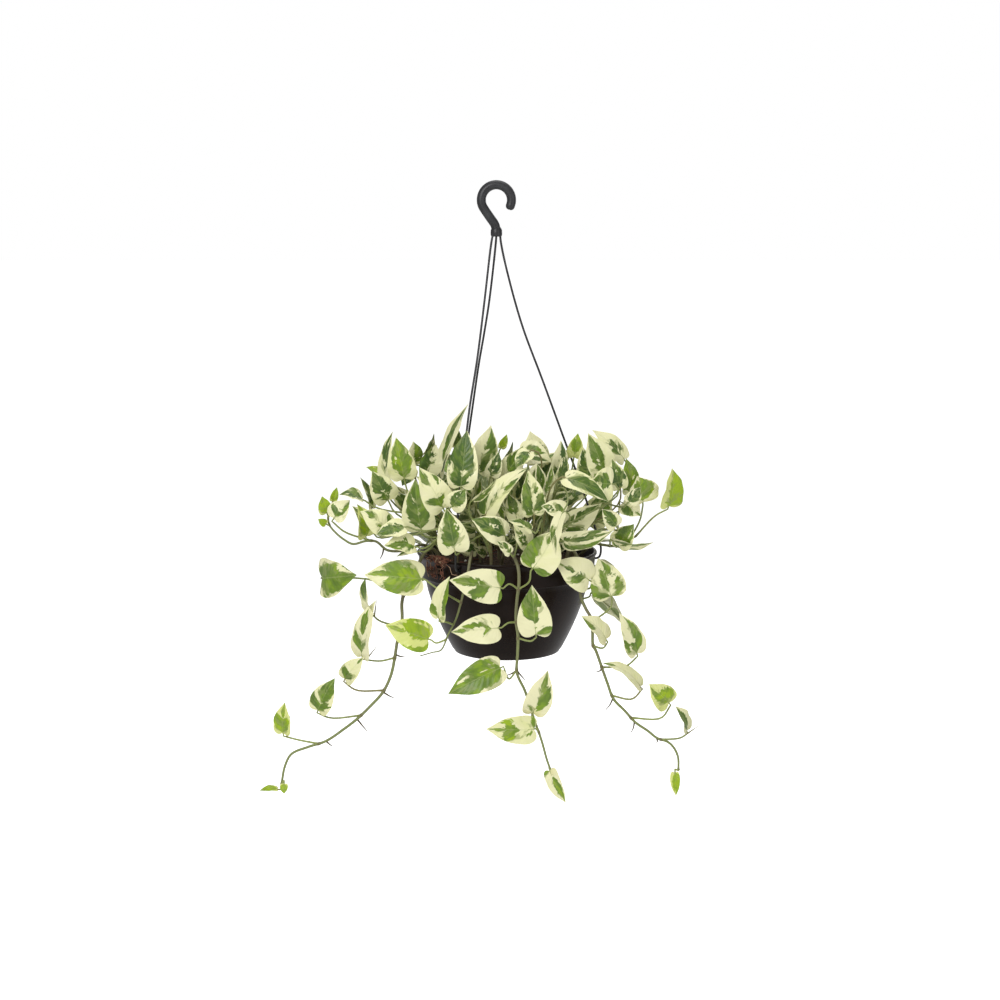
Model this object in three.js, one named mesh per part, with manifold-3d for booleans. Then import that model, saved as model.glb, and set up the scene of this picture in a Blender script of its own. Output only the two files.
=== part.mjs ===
// A potted trailing house plant with cream and green leaves, hanging by a three-strand hanger.
// Millimetres, +Z up, the front toward -Y. The origin is where the hook rests on what holds it.

import * as THREE from "three";
import { mergeVertices } from "three/addons/utils/BufferGeometryUtils.js";
import Module from "manifold-3d";

const wasm = await Module();
wasm.setup();

const degree = Math.PI / 180;

// The pot: its rim is the plane z = 0 while it is laid out, and its axis is x = y = 0
const pot = {
  rimRadius: 100,
  lip: 1.6, // how far the lip stands out of the collar
  collarHeight: 27,
  collarFootRadius: 96.5,
  neckRadius: 91, // the body just under the collar
  baseRadius: 59,
  height: 113,
  wall: 1.7,
  floor: 2.2,
  sides: 32,
  drainRadius: 4.5,
  drainRing: 40,
  drains: 6,
};

// The hanger: a hook and three strands that meet in a collar
const hanger = {
  hookCentre: [-11.7, 385.6], // x and z of the hook's round
  hookRadius: 16.4, // to the middle of the rod
  rodRadius: 5,
  seamDrop: 34.5, // from that round's middle to the seam across the collar
  seamGap: 0.3,
  strandRadius: 1.25,
  clipHeight: -9, // where a strand's end goes in through the collar
  holeRadius: 2.9,
  buttonRadius: 4.2,
  buttonThickness: 1.8,
};

// The soil and the stems that stand in it
const soil = {
  gap: 0.45, // to the pot
  edgeHeight: -13,
  crownHeight: -7,
  sides: 24,
  rings: [95, 58, 0], // of the top face
  rootDepth: 26,
  rootGap: 1.25,
};

// Leaves and stalks
const leafShape = {
  halfThickness: 0.55,
  // Where a blade's cross lines are, from the stalk to the tip: the most on the largest leaves
  stations: [[0.15, 0.6], [0.1, 0.42, 0.8], [0.09, 0.32, 0.61, 0.86], [0.08, 0.27, 0.5, 0.73, 0.9]],
  large: [19, 32, 46], // from these lengths on
  footRadius: 0.5, // of a stalk inside its stem
  stalkRadius: 1.05,
  tipStalkRadius: 0.8,
};

// The plants are laid out as they are seen from the front, in a square view 1000 units wide
const view = {
  distance: 2200, // from the eye to the pot's axis
  tilt: 8 * degree, // how far the eye looks down
  unit: 1.11, // millimetres in a unit at the pot's axis
  middle: new THREE.Vector3(-7.8, 0, 56.3), // what the middle of the view looks at
};

const colours = {
  pot: 0x2a2020,
  hanger: 0x26282a,
  soil: 0x33241c,
  crown: 0x7f9a52,
  vine: 0x8fae4c,
};

function material(colour, roughness) {
  return new THREE.MeshStandardMaterial({ color: colour, roughness, metalness: 0 });
}

// A point of the front view, standing the given millimetres in front of the pot's axis
function seen(across, down, near) {
  const forward = new THREE.Vector3(0, Math.cos(view.tilt), -Math.sin(view.tilt));
  const upward = new THREE.Vector3(0, Math.sin(view.tilt), Math.cos(view.tilt));
  const eye = view.middle.clone().addScaledVector(forward, -view.distance);
  const ray = forward.clone().multiplyScalar(view.distance);
  ray.x += (across - 500) * view.unit;
  ray.addScaledVector(upward, (500 - down) * view.unit);
  return eye.addScaledVector(ray, (-near - eye.y) / ray.y);
}

// Closed meshes and solids
function triangleMesh(points, triangles) {
  const geometry = new THREE.BufferGeometry();
  const numbers = points.flatMap((point) => [point.x, point.y, point.z]);
  geometry.setAttribute("position", new THREE.Float32BufferAttribute(numbers, 3));
  geometry.setIndex(triangles.flat());
  return geometry;
}

function solidOf(geometry) {
  const bare = geometry.clone();
  bare.deleteAttribute("normal");
  bare.deleteAttribute("uv");
  const merged = mergeVertices(bare, 1e-4);
  return new wasm.Manifold(
    new wasm.Mesh({
      numProp: 3,
      vertProperties: new Float32Array(merged.attributes.position.array),
      triVerts: new Uint32Array(merged.index.array),
    }),
  );
}

function geometryOf(solid) {
  const mesh = solid.getMesh();
  const geometry = new THREE.BufferGeometry();
  geometry.setAttribute("position", new THREE.BufferAttribute(mesh.vertProperties, 3));
  geometry.setIndex(new THREE.BufferAttribute(mesh.triVerts, 1));
  return geometry;
}

// The joined solids as one body, without the specks that a join can leave where faces just touch
function joined(solids) {
  const bodies = solids.reduce((whole, solid) => whole.add(solid)).decompose();
  return bodies.reduce((most, body) => (body.volume() > most.volume() ? body : most));
}

// A round rod along a smooth curve through the points
function rod(points, radius, sides, steps) {
  const section = new THREE.Shape();
  for (let i = 0; i < sides; i += 1) {
    const angle = (2 * Math.PI * i) / sides;
    section[i ? "lineTo" : "moveTo"](radius * Math.cos(angle), radius * Math.sin(angle));
  }
  const extrudePath = new THREE.CatmullRomCurve3(points, false, "centripetal");
  return solidOf(new THREE.ExtrudeGeometry(section, { steps, bevelEnabled: false, extrudePath }));
}

function cylinder(radius, length, sides) {
  return new THREE.CylinderGeometry(radius, radius, length, sides).rotateX(Math.PI / 2);
}

// The pot's body widens quickly above its base and slowly below the collar
function bodyRadius(z) {
  const rise = (z + pot.height) / (pot.height - pot.collarHeight);
  return pot.baseRadius + (pot.neckRadius - pot.baseRadius) * (1 - (1 - rise) ** 1.5);
}

function lathed(profile, sides) {
  const turned = new THREE.LatheGeometry(profile.map(([r, z]) => new THREE.Vector2(r, z)), sides);
  return solidOf(turned.rotateX(Math.PI / 2));
}

const bodyHeights = [-98, -68];

// The strands' ends go in through the collar at these angles round the pot
const clipAngles = [0, 122 * degree, 238 * degree];

// The inside of the pot, from the ledge under the collar to the middle of the floor
const innerProfile = [
  [pot.collarFootRadius - pot.wall, pot.wall - pot.collarHeight],
  [pot.neckRadius - pot.wall, 0.4 - pot.collarHeight],
  ...bodyHeights.toReversed().map((z) => [bodyRadius(z) - pot.wall, z]),
  [pot.baseRadius - pot.wall, pot.floor - pot.height],
  [0, pot.floor - pot.height],
];

function makePot() {
  const foot = -pot.collarHeight;
  const base = -pot.height;
  const profile = [
    [0, base],
    [pot.baseRadius - 3, base],
    [pot.baseRadius + 0.8, base + 2.4],
    ...bodyHeights.map((z) => [bodyRadius(z), z]),
    [pot.neckRadius, foot - 1],
    [pot.collarFootRadius, foot],
    [pot.rimRadius - pot.lip, -3.4],
    [pot.rimRadius, -2.6],
    [pot.rimRadius - 0.2, 0],
    [pot.rimRadius - pot.lip - pot.wall, -0.6],
    ...innerProfile,
  ];
  let solid = lathed(profile, pot.sides);
  for (let i = 0; i < pot.drains; i += 1) {
    const angle = (2 * Math.PI * (i + 0.5)) / pot.drains;
    const drill = cylinder(pot.drainRadius, 4 * pot.floor, 8);
    drill.translate(pot.drainRing * Math.cos(angle), pot.drainRing * Math.sin(angle), base + pot.floor / 2);
    solid = solid.subtract(solidOf(drill));
  }
  for (const angle of clipAngles) {
    const drill = new THREE.CylinderGeometry(hanger.holeRadius, hanger.holeRadius, 16, 8);
    drill.rotateZ(Math.PI / 2).translate(pot.rimRadius - 3, 0, hanger.clipHeight).rotateZ(angle);
    solid = solid.subtract(solidOf(drill));
  }
  return solid;
}

// One strand: down from the shank, over the lip and in through the collar to a button inside
function strandRoute(points, angle) {
  const out = (radius, z) => new THREE.Vector3(radius * Math.cos(angle), radius * Math.sin(angle), z);
  const curve = new THREE.CatmullRomCurve3([...points.map((point) => seen(...point)), out(104.4, 4)]);
  const end = [out(104.2, -4), out(102.6, -7.6), out(100, hanger.clipHeight), out(93.2, hanger.clipHeight)];
  return [...curve.getPoints(12), ...end];
}

const strandRoutes = [
  strandRoute([[500, 233.5, 0], [501, 243, 0], [507, 271, 0], [522, 325, 0], [542.5, 380, 0], [564.5, 440, 0],
    [580, 482, 0], [594, 524, 0]], clipAngles[0]),
  strandRoute([[496.5, 233.5, -2], [495.6, 245, -4], [489.4, 300, -19], [483.7, 336, -31], [479, 363, -40],
    [473, 404, -53], [466, 455, -70], [461, 510, -85]], clipAngles[1]),
  strandRoute([[493, 233.5, 2], [491, 245, 5], [484.6, 300, 20], [477.5, 357, 38], [470, 405, 53],
    [466, 437, 63], [460, 490, 77], [456, 540, 88]], clipAngles[2]),
];

function makeHook() {
  const [centreX, centreZ] = hanger.hookCentre;
  const round = (turn) =>
    new THREE.Vector3(
      centreX + hanger.hookRadius * Math.cos(turn * degree),
      0,
      centreZ + hanger.hookRadius * Math.sin(turn * degree),
    );
  const hookPoints = [];
  for (let turn = -22; turn <= 214; turn += 23.6) {
    hookPoints.push(round(turn));
  }
  hookPoints.push(new THREE.Vector3(centreX - 6.5, 0, centreZ - 19.5));
  hookPoints.push(new THREE.Vector3(centreX - 1.5, 0, centreZ - 27));
  hookPoints.push(new THREE.Vector3(centreX, 0, centreZ - hanger.seamDrop + 1.4));
  const hook = rod(hookPoints, hanger.rodRadius, 8, 18);
  const knob = new THREE.SphereGeometry(hanger.rodRadius, 8, 6);
  knob.translate(...round(-22).toArray());
  const collar = lathed([[0, 0], [6.2, 0], [6.2, 2], [4.6, 5], [0, 5]], 10);
  return joined([hook, solidOf(knob), collar.translate([centreX, 0, centreZ - hanger.seamDrop])]);
}

function makeStrands() {
  const [centreX, centreZ] = hanger.hookCentre;
  const collar = lathed([[0, -5], [5.4, -5], [6.2, -3], [6.2, -hanger.seamGap], [0, -hanger.seamGap]], 10);
  const pieces = [collar.translate([centreX, 0, centreZ - hanger.seamDrop])];
  strandRoutes.forEach((route, index) => {
    pieces.push(tube(route, hanger.strandRadius, hanger.strandRadius, 4));
    const button = cylinder(hanger.buttonRadius, hanger.buttonThickness, 6).rotateY(Math.PI / 2);
    button.translate(92.6, 0, hanger.clipHeight).rotateZ(clipAngles[index]);
    pieces.push(solidOf(button));
  });
  return joined(pieces);
}

// The height of the soil: a low mound with shallow lumps
function soilHeight(x, y) {
  const rim = Math.min(1, Math.hypot(x, y) / pot.neckRadius);
  const mound = soil.crownHeight + (soil.edgeHeight - soil.crownHeight) * rim ** 2;
  return mound + 1.3 * Math.sin(x / 9 + 1) * Math.cos(y / 8) + 0.8 * Math.sin(x / 5 - y / 6);
}

function makeSoil(roots) {
  const side = innerProfile.slice(0, -1).map(([r, z]) => [r - 2 * soil.gap, z + soil.gap]);
  const profile = [[0, side.at(-1)[1]], ...side.toReversed(), ...soil.rings.map((r) => [r, 0])];
  const turned = new THREE.LatheGeometry(profile.map(([r, z]) => new THREE.Vector2(r, z)), soil.sides);
  turned.rotateX(Math.PI / 2);
  const place = turned.attributes.position;
  for (let i = 0; i < place.count; i += 1) {
    if (place.getZ(i) > -1) {
      place.setZ(i, soilHeight(place.getX(i), place.getY(i)));
    }
  }
  let solid = solidOf(turned);
  for (const [x, y, radius] of roots) {
    const drill = cylinder(radius + soil.rootGap, 2 * soil.rootDepth + 12, 4);
    drill.translate(x, y, soilHeight(x, y));
    solid = solid.subtract(solidOf(drill));
  }
  return solid;
}

// A steady source of numbers between 0 and 1
function makeDraw(seed) {
  let state = seed;
  return () => {
    state = (state * 16807) % 2147483647;
    return state / 2147483647;
  };
}

// Half the blade's width along its length: a heart with its widest part a third of the way up
function halfWidth(along) {
  return Math.sin(Math.PI * along ** 0.66) ** 0.85;
}

// A point of a blade: along is 0 at the stalk and 1 at the tip, across is -1 and 1 on its edges
function bladePoint(blade, along, across) {
  const reach = Math.abs(across);
  const aside = 0.5 * blade.width * (along < 1 ? halfWidth(along) : 0) * across;
  const onward = along - 0.78 * along ** 0.6 * (1 - along) ** 3 * reach ** 1.5;
  const ripple = Math.sin(2 * Math.PI * (1.6 * along + blade.phase + (across > 0 ? 0.37 : 0)));
  const lift =
    blade.arch * blade.length * 4 * onward * (1 - onward) +
    blade.fold * Math.abs(aside) +
    blade.wave * blade.width * ripple * reach ** 2 * (along < 1 ? halfWidth(along) : 0);
  return blade.base
    .clone()
    .addScaledVector(blade.axis, onward * blade.length)
    .addScaledVector(blade.side, aside)
    .addScaledVector(blade.normal, lift);
}

// A blade between two points, its upper face turned toward the given direction
function makeBlade(base, tip, face, width, arch, fold, wave, phase) {
  const axis = tip.clone().sub(base);
  const length = axis.length();
  axis.normalize();
  const normal = face.clone().addScaledVector(axis, -face.dot(axis)).normalize();
  const side = normal.clone().cross(axis);
  return { base, tip, axis, normal, side, length, width, arch, fold, wave, phase };
}

// The stalk's way to the blade ends along the blade, so that the two run into one another
function stalkEnd(blade) {
  return blade.base.clone().addScaledVector(blade.axis, -4).addScaledVector(blade.normal, -1.6);
}

// Two triangles for four corners
function quad(a, b, c, d) {
  return [[a, b, c], [a, c, d]];
}

// A blade and its three-sided stalk as one closed mesh
function stalkedBlade(blade, way) {
  const points = [];
  const triangles = [];
  const add = (point) => points.push(point) - 1;
  const stations = leafShape.stations[leafShape.large.filter((length) => blade.length > length).length];
  const thick = leafShape.halfThickness;
  const middle = stations.map((along) => bladePoint(blade, along, 0));
  const above = middle.map((point) => add(point.clone().addScaledVector(blade.normal, thick)));
  const below = middle.map((point) => add(point.clone().addScaledVector(blade.normal, -thick)));
  const left = stations.map((along) => add(bladePoint(blade, along, 1)));
  const right = stations.map((along) => add(bladePoint(blade, along, -1)));
  const tip = add(bladePoint(blade, 1, 0));
  const last = stations.length - 1;

  // Rings of the stalk, from the blade back to the stem
  const route = [...way, stalkEnd(blade), blade.base];
  let normal = blade.normal.clone();
  const rings = [];
  for (let i = route.length - 1; i >= 0; i -= 1) {
    const before = route[Math.max(0, i - 1)];
    const after = route[Math.min(route.length - 1, i + 1)];
    const tangent = after.clone().sub(before).normalize();
    normal.addScaledVector(tangent, -normal.dot(tangent)).normalize();
    const side = normal.clone().cross(tangent);
    const share = i / (route.length - 1);
    const above = leafShape.stalkRadius + (leafShape.tipStalkRadius - leafShape.stalkRadius) * share;
    const radius = i ? above : leafShape.footRadius;
    rings.push([90, 210, 330].map((turn) => {
      const up = radius * Math.sin(turn * degree);
      const out = -radius * Math.cos(turn * degree);
      return add(route[i].clone().addScaledVector(normal, up).addScaledVector(side, out));
    }));
    normal = normal.clone();
  }

  const [top, leftFoot, rightFoot] = rings[0];
  triangles.push([top, above[0], left[0]], [top, right[0], above[0]]);
  triangles.push([leftFoot, left[0], below[0]], [rightFoot, below[0], right[0]]);
  triangles.push([top, left[0], leftFoot], [top, rightFoot, right[0]], [leftFoot, below[0], rightFoot]);
  for (let i = 0; i < last; i += 1) {
    triangles.push([above[i], above[i + 1], left[i + 1]], [above[i], left[i + 1], left[i]]);
    triangles.push([above[i], right[i + 1], above[i + 1]], [above[i], right[i], right[i + 1]]);
    triangles.push([below[i], left[i + 1], below[i + 1]], [below[i], left[i], left[i + 1]]);
    triangles.push([below[i], below[i + 1], right[i + 1]], [below[i], right[i + 1], right[i]]);
  }
  triangles.push([above[last], tip, left[last]], [above[last], right[last], tip]);
  triangles.push([below[last], left[last], tip], [below[last], tip, right[last]]);
  for (let i = 1; i < rings.length; i += 1) {
    for (let j = 0; j < 3; j += 1) {
      const k = (j + 1) % 3;
      triangles.push(...quad(rings[i - 1][j], rings[i - 1][k], rings[i][k], rings[i][j]));
    }
  }
  triangles.push(rings.at(-1));
  return solidOf(triangleMesh(points, triangles));
}

// A tapering stem through the points, closed at both ends
function tube(route, firstRadius, lastRadius, sides) {
  const points = [];
  const triangles = [];
  let normal = new THREE.Vector3(0.31, -0.95, 0.04);
  const rings = route.map((place, i) => {
    const before = route[Math.max(0, i - 1)];
    const after = route[Math.min(route.length - 1, i + 1)];
    const tangent = after.clone().sub(before).normalize();
    normal = normal.clone().addScaledVector(tangent, -normal.dot(tangent)).normalize();
    const side = tangent.clone().cross(normal);
    const radius = firstRadius + ((lastRadius - firstRadius) * i) / (route.length - 1);
    return Array.from({ length: sides }, (_, j) => {
      const angle = (2 * Math.PI * j) / sides;
      const point = place.clone().addScaledVector(normal, radius * Math.cos(angle));
      return points.push(point.addScaledVector(side, radius * Math.sin(angle))) - 1;
    });
  });
  for (let i = 1; i < rings.length; i += 1) {
    for (let j = 0; j < sides; j += 1) {
      const k = (j + 1) % sides;
      triangles.push(...quad(rings[i - 1][j], rings[i - 1][k], rings[i][k], rings[i][j]));
    }
  }
  for (let j = 1; j < sides - 1; j += 1) {
    triangles.push([rings[0][0], rings[0][j + 1], rings[0][j]]);
    triangles.push([rings.at(-1)[0], rings.at(-1)[j], rings.at(-1)[j + 1]]);
  }
  return solidOf(triangleMesh(points, triangles));
}

// Room in the plant is kept in small cells, so that no leaf or stalk runs into another
const cell = 3.2;
const bladeStep = 2.3;
const stalkStep = 2;
const bladeCells = new Map();
const stalkCells = new Map();

function cellKey(i, j, k) {
  return (i + 512) * 1048576 + (j + 512) * 1024 + (k + 512);
}

function cellOf(point) {
  return [Math.floor(point.x / cell), Math.floor(point.y / cell), Math.floor(point.z / cell)];
}

function fillCells(cells, points, owner, reach = 1) {
  const wide = 2 * reach + 1;
  for (const point of points) {
    const [i, j, k] = cellOf(point).map((index) => index - reach);
    for (let n = 0; n < wide ** 3; n += 1) {
      const key = cellKey(i + (n % wide), j + (Math.floor(n / wide) % wide), k + Math.floor(n / wide ** 2));
      const taken = cells.get(key);
      cells.set(key, taken === undefined || taken === owner ? owner : "several");
    }
  }
}

// Whether the points meet no blade, and no stem or stalk but those of the owner, if one is given
function isClear(points, owner) {
  return points.every((point) => {
    const key = cellKey(...cellOf(point));
    return !bladeCells.has(key) && (!stalkCells.has(key) || stalkCells.get(key) === owner);
  });
}

function bladeSamples(blade) {
  const rows = Math.ceil(blade.length / bladeStep);
  const points = [];
  for (let i = 0; i <= rows; i += 1) {
    const along = i / rows;
    const columns = Math.ceil((0.5 * blade.width * (along < 1 ? halfWidth(along) : 0)) / bladeStep);
    for (let j = -columns; j <= columns; j += 1) {
      points.push(bladePoint(blade, along, columns ? j / columns : 0));
    }
  }
  return points;
}

function lineSamples(route, skip) {
  const points = [];
  let walked = 0;
  for (let i = 1; i < route.length; i += 1) {
    const length = route[i].distanceTo(route[i - 1]);
    const steps = Math.max(1, Math.ceil(length / stalkStep));
    for (let j = 0; j < steps; j += 1) {
      if (walked + (length * j) / steps >= skip) {
        points.push(route[i - 1].clone().lerp(route[i], j / steps));
      }
    }
    walked += length;
  }
  return points;
}

// A leaf laid out in the front view, moved toward or away from the eye by the given shift
function seenBlade(row, shift, swivel, phase) {
  const [tipAcross, tipDown, baseAcross, baseDown, near, tipNearer, width, turn, arch] = row;
  const base = seen(baseAcross, baseDown, near + shift);
  const tip = seen(tipAcross, tipDown, near + shift + tipNearer);
  const axis = tip.clone().sub(base).normalize();
  const toEye = new THREE.Vector3(0, -Math.cos(view.tilt), Math.sin(view.tilt));
  toEye.addScaledVector(axis, -toEye.dot(axis)).normalize();
  const aside = axis.clone().cross(toEye);
  const face = toEye.clone().multiplyScalar(Math.cos((turn + swivel) * degree));
  face.addScaledVector(aside, Math.sin((turn + swivel) * degree));
  return makeBlade(base, tip, face, width, arch, 0.16, 0.045, phase);
}

// The trailing stems: where each one roots (x, y), its route in the front view (across, down,
// near), its first and last radius, and its leaves. A leaf is its tip (across, down), its stalk's
// end (across, down), how near it is, how much nearer its tip is, its width, its turn from facing
// the eye in degrees and its arch. Then come where its stalk leaves the stem and the stalk's elbow.
const trailing = {
  left_vine: {
    root: [-70, -36],
    route: [[432, 549, 46], [424, 554, 54], [415, 572, 63], [406, 588, 68], [402, 602, 70], [402, 620, 73],
      [397, 643, 76], [395, 656, 78], [391, 675, 80], [383, 692, 82], [370.5, 706, 84], [357, 719, 86],
      [344, 729, 86], [326, 741, 86], [308, 747, 86], [291.5, 754, 86], [285, 766, 86], [281.5, 784, 86]],
    radii: [2.1, 1.3],
    leaves: [
      [357, 575, 322, 578, 58, 36, 44, 0, 0.1, 403, 600, 372, 580],
      [366, 577, 371, 612, 86, 2, 24, -62, 0.12, 401, 623, 380, 621],
      [376, 600, 362, 656, 84, 6, 28, -36, 0.13, 395, 657, 380, 661],
      [364, 657, 345, 679, 84, 8, 23, -20, 0.08, 382, 692, 356, 690],
      [335, 678, 318, 710, 86, 4, 27, -14, 0.1, 356, 719, 331, 718],
      [285, 702, 283, 733, 88, 3, 22, -22, 0.08, 326, 741, 299, 740],
      [259, 791, 277, 789, 88, 0, 9, 50, 0.12, 282, 780, 281, 784],
      [284, 794, 284, 784, 88, 2, 9, 0, 0.05, 282, 780, 283, 782],
    ],
  },
  front_left_vine: {
    root: [-40, -62],
    route: [[472, 552, 88], [470, 560, 99], [467, 578, 105], [462, 598, 108], [460, 606, 109],
      [456, 619, 109], [448, 635, 109], [441, 650, 109], [432, 652.5, 108], [420, 656, 107]],
    radii: [1.8, 0.6],
    leaves: [
      [364, 575, 421, 579, 92, -4, 39, 8, 0.06, 461, 601, 438, 589],
      [450, 576, 439, 618, 122, 0, 26, -44, 0.1, 452, 625, 446, 622],
      [385, 625, 428, 639, 108, 0, 35, 6, 0.06, 447, 637, 436, 643],
    ],
  },
  front_vine: {
    root: [-6, -50],
    route: [[508, 548, 88], [513, 555, 97], [518, 567, 105], [519, 582, 107], [517, 600, 108],
      [516, 619, 109], [518, 637, 110], [517.5, 655, 112], [517, 673, 114], [525, 691, 118], [532, 713, 121],
      [537, 727, 123], [542, 742, 125], [547, 760, 127], [551, 771, 128]],
    radii: [2.1, 1.2],
    leaves: [
      [449, 580, 500, 588, 118, 14, 37, 0, 0.05, 518, 584, 509, 584],
      [451, 632, 498, 628, 116, 6, 32, 4, 0.06, 516, 620, 508, 623],
      [532, 585, 536, 634, 120, 6, 37, -6, 0.06, 520, 646, 531, 641],
      [555, 530, 533, 568, 118, -14, 42, 14, 0.12, 520, 592, 529, 582],
      [448, 694, 500, 668, 120, 6, 35, 10, 0.07, 517, 675, 509, 679],
      [548, 670, 533, 713, 124, 6, 30, 12, 0.06, 533, 717, 533, 715],
      [486, 729, 534, 729, 126, 5, 32, -6, 0.06, 538, 728, 536, 728],
      [566, 803, 550, 771, 130, 4, 18, 24, 0.08, 550, 768, 550, 770],
    ],
  },
  right_vine: {
    root: [64, -50],
    route: [[570, 547, 58], [575, 553, 66], [578.5, 562, 73], [580, 578, 79], [581, 597, 82], [586, 609, 85],
      [591, 618, 87], [592.5, 632, 89], [593, 645, 90], [596, 651, 91], [602, 668, 93], [607, 682, 95],
      [613.6, 699, 97], [625, 711, 99], [635, 722, 100], [648, 731, 101], [657, 738, 102],
      [668, 742, 102], [674, 748, 102], [678, 757, 102], [678.5, 770, 102]],
    radii: [2, 1.2],
    leaves: [
      [554, 561, 589, 580, 92, 10, 36, 12, 0.1, 581, 595, 590, 588],
      [598, 558, 611, 596, 84, -2, 39, 4, 0.07, 594, 621, 611, 607],
      [581, 616, 606, 639, 104, 2, 30, 50, 0.09, 594, 648, 603, 648],
      [619, 613, 637, 653, 100, 2, 27, 24, 0.1, 602, 668, 626, 666],
      [602, 663, 640, 686, 106, -2, 26, 60, 0.13, 614, 700, 632, 699],
      [649, 684, 669, 703, 106, 8, 29, 12, 0.06, 636, 722, 661, 718],
      [675, 706, 687, 730, 104, 0, 26, 60, 0.12, 658, 738, 680, 738],
      [676, 796, 675, 773, 104, 0, 11, 10, 0.06, 678.5, 767, 677.5, 770],
    ],
  },
  left_runner: {
    root: [-79, -14],
    route: [[424, 545, 30], [412, 548, 42], [400, 551, 50], [387, 550, 56], [376, 541.5, 60], [366, 541, 62],
      [353, 544, 63], [344, 539.5, 63], [336, 533, 62], [329.5, 525, 61], [328, 518, 60]],
    radii: [1.7, 1],
    leaves: [
      [322, 496, 327, 513, 60, 6, 16, 0, 0.04, 328.5, 520, 328, 516],
      [337, 487, 333, 501, 56, 0, 9, 10, 0.04, 328.5, 520, 331, 508],
      [318, 519, 326, 524, 66, 4, 9, 0, 0.04, 329, 524, 328, 525],
      [350, 500, 334, 518, 70, -6, 24, -20, 0.12, 366, 541, 345, 532],
      [357, 504, 366, 536, 74, 6, 26, 36, 0.2, 372, 541, 368, 540],
    ],
  },
  right_runner: {
    root: [80, 5],
    route: [[594, 544, 14], [604, 545, 26], [616, 546, 34], [627, 542, 38], [636, 536, 40]],
    radii: [1.7, 1.1],
    leaves: [
      [672, 468, 669, 506, 44, 6, 33, 40, 0.08, 634, 538, 655, 516],
      [637, 476, 643, 502, 52, 6, 42, 26, 0.08, 630, 541, 640, 520],
      [654, 542, 614, 541, 62, 2, 20, 62, 0.12, 606, 545, 610, 543],
      [634, 524, 618, 545, 60, 8, 26, -8, 0.08, 611, 546, 615, 546],
      [641, 516, 623, 503, 58, 4, 24, -16, 0.08, 620, 545, 618, 528],
    ],
  },
};

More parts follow.
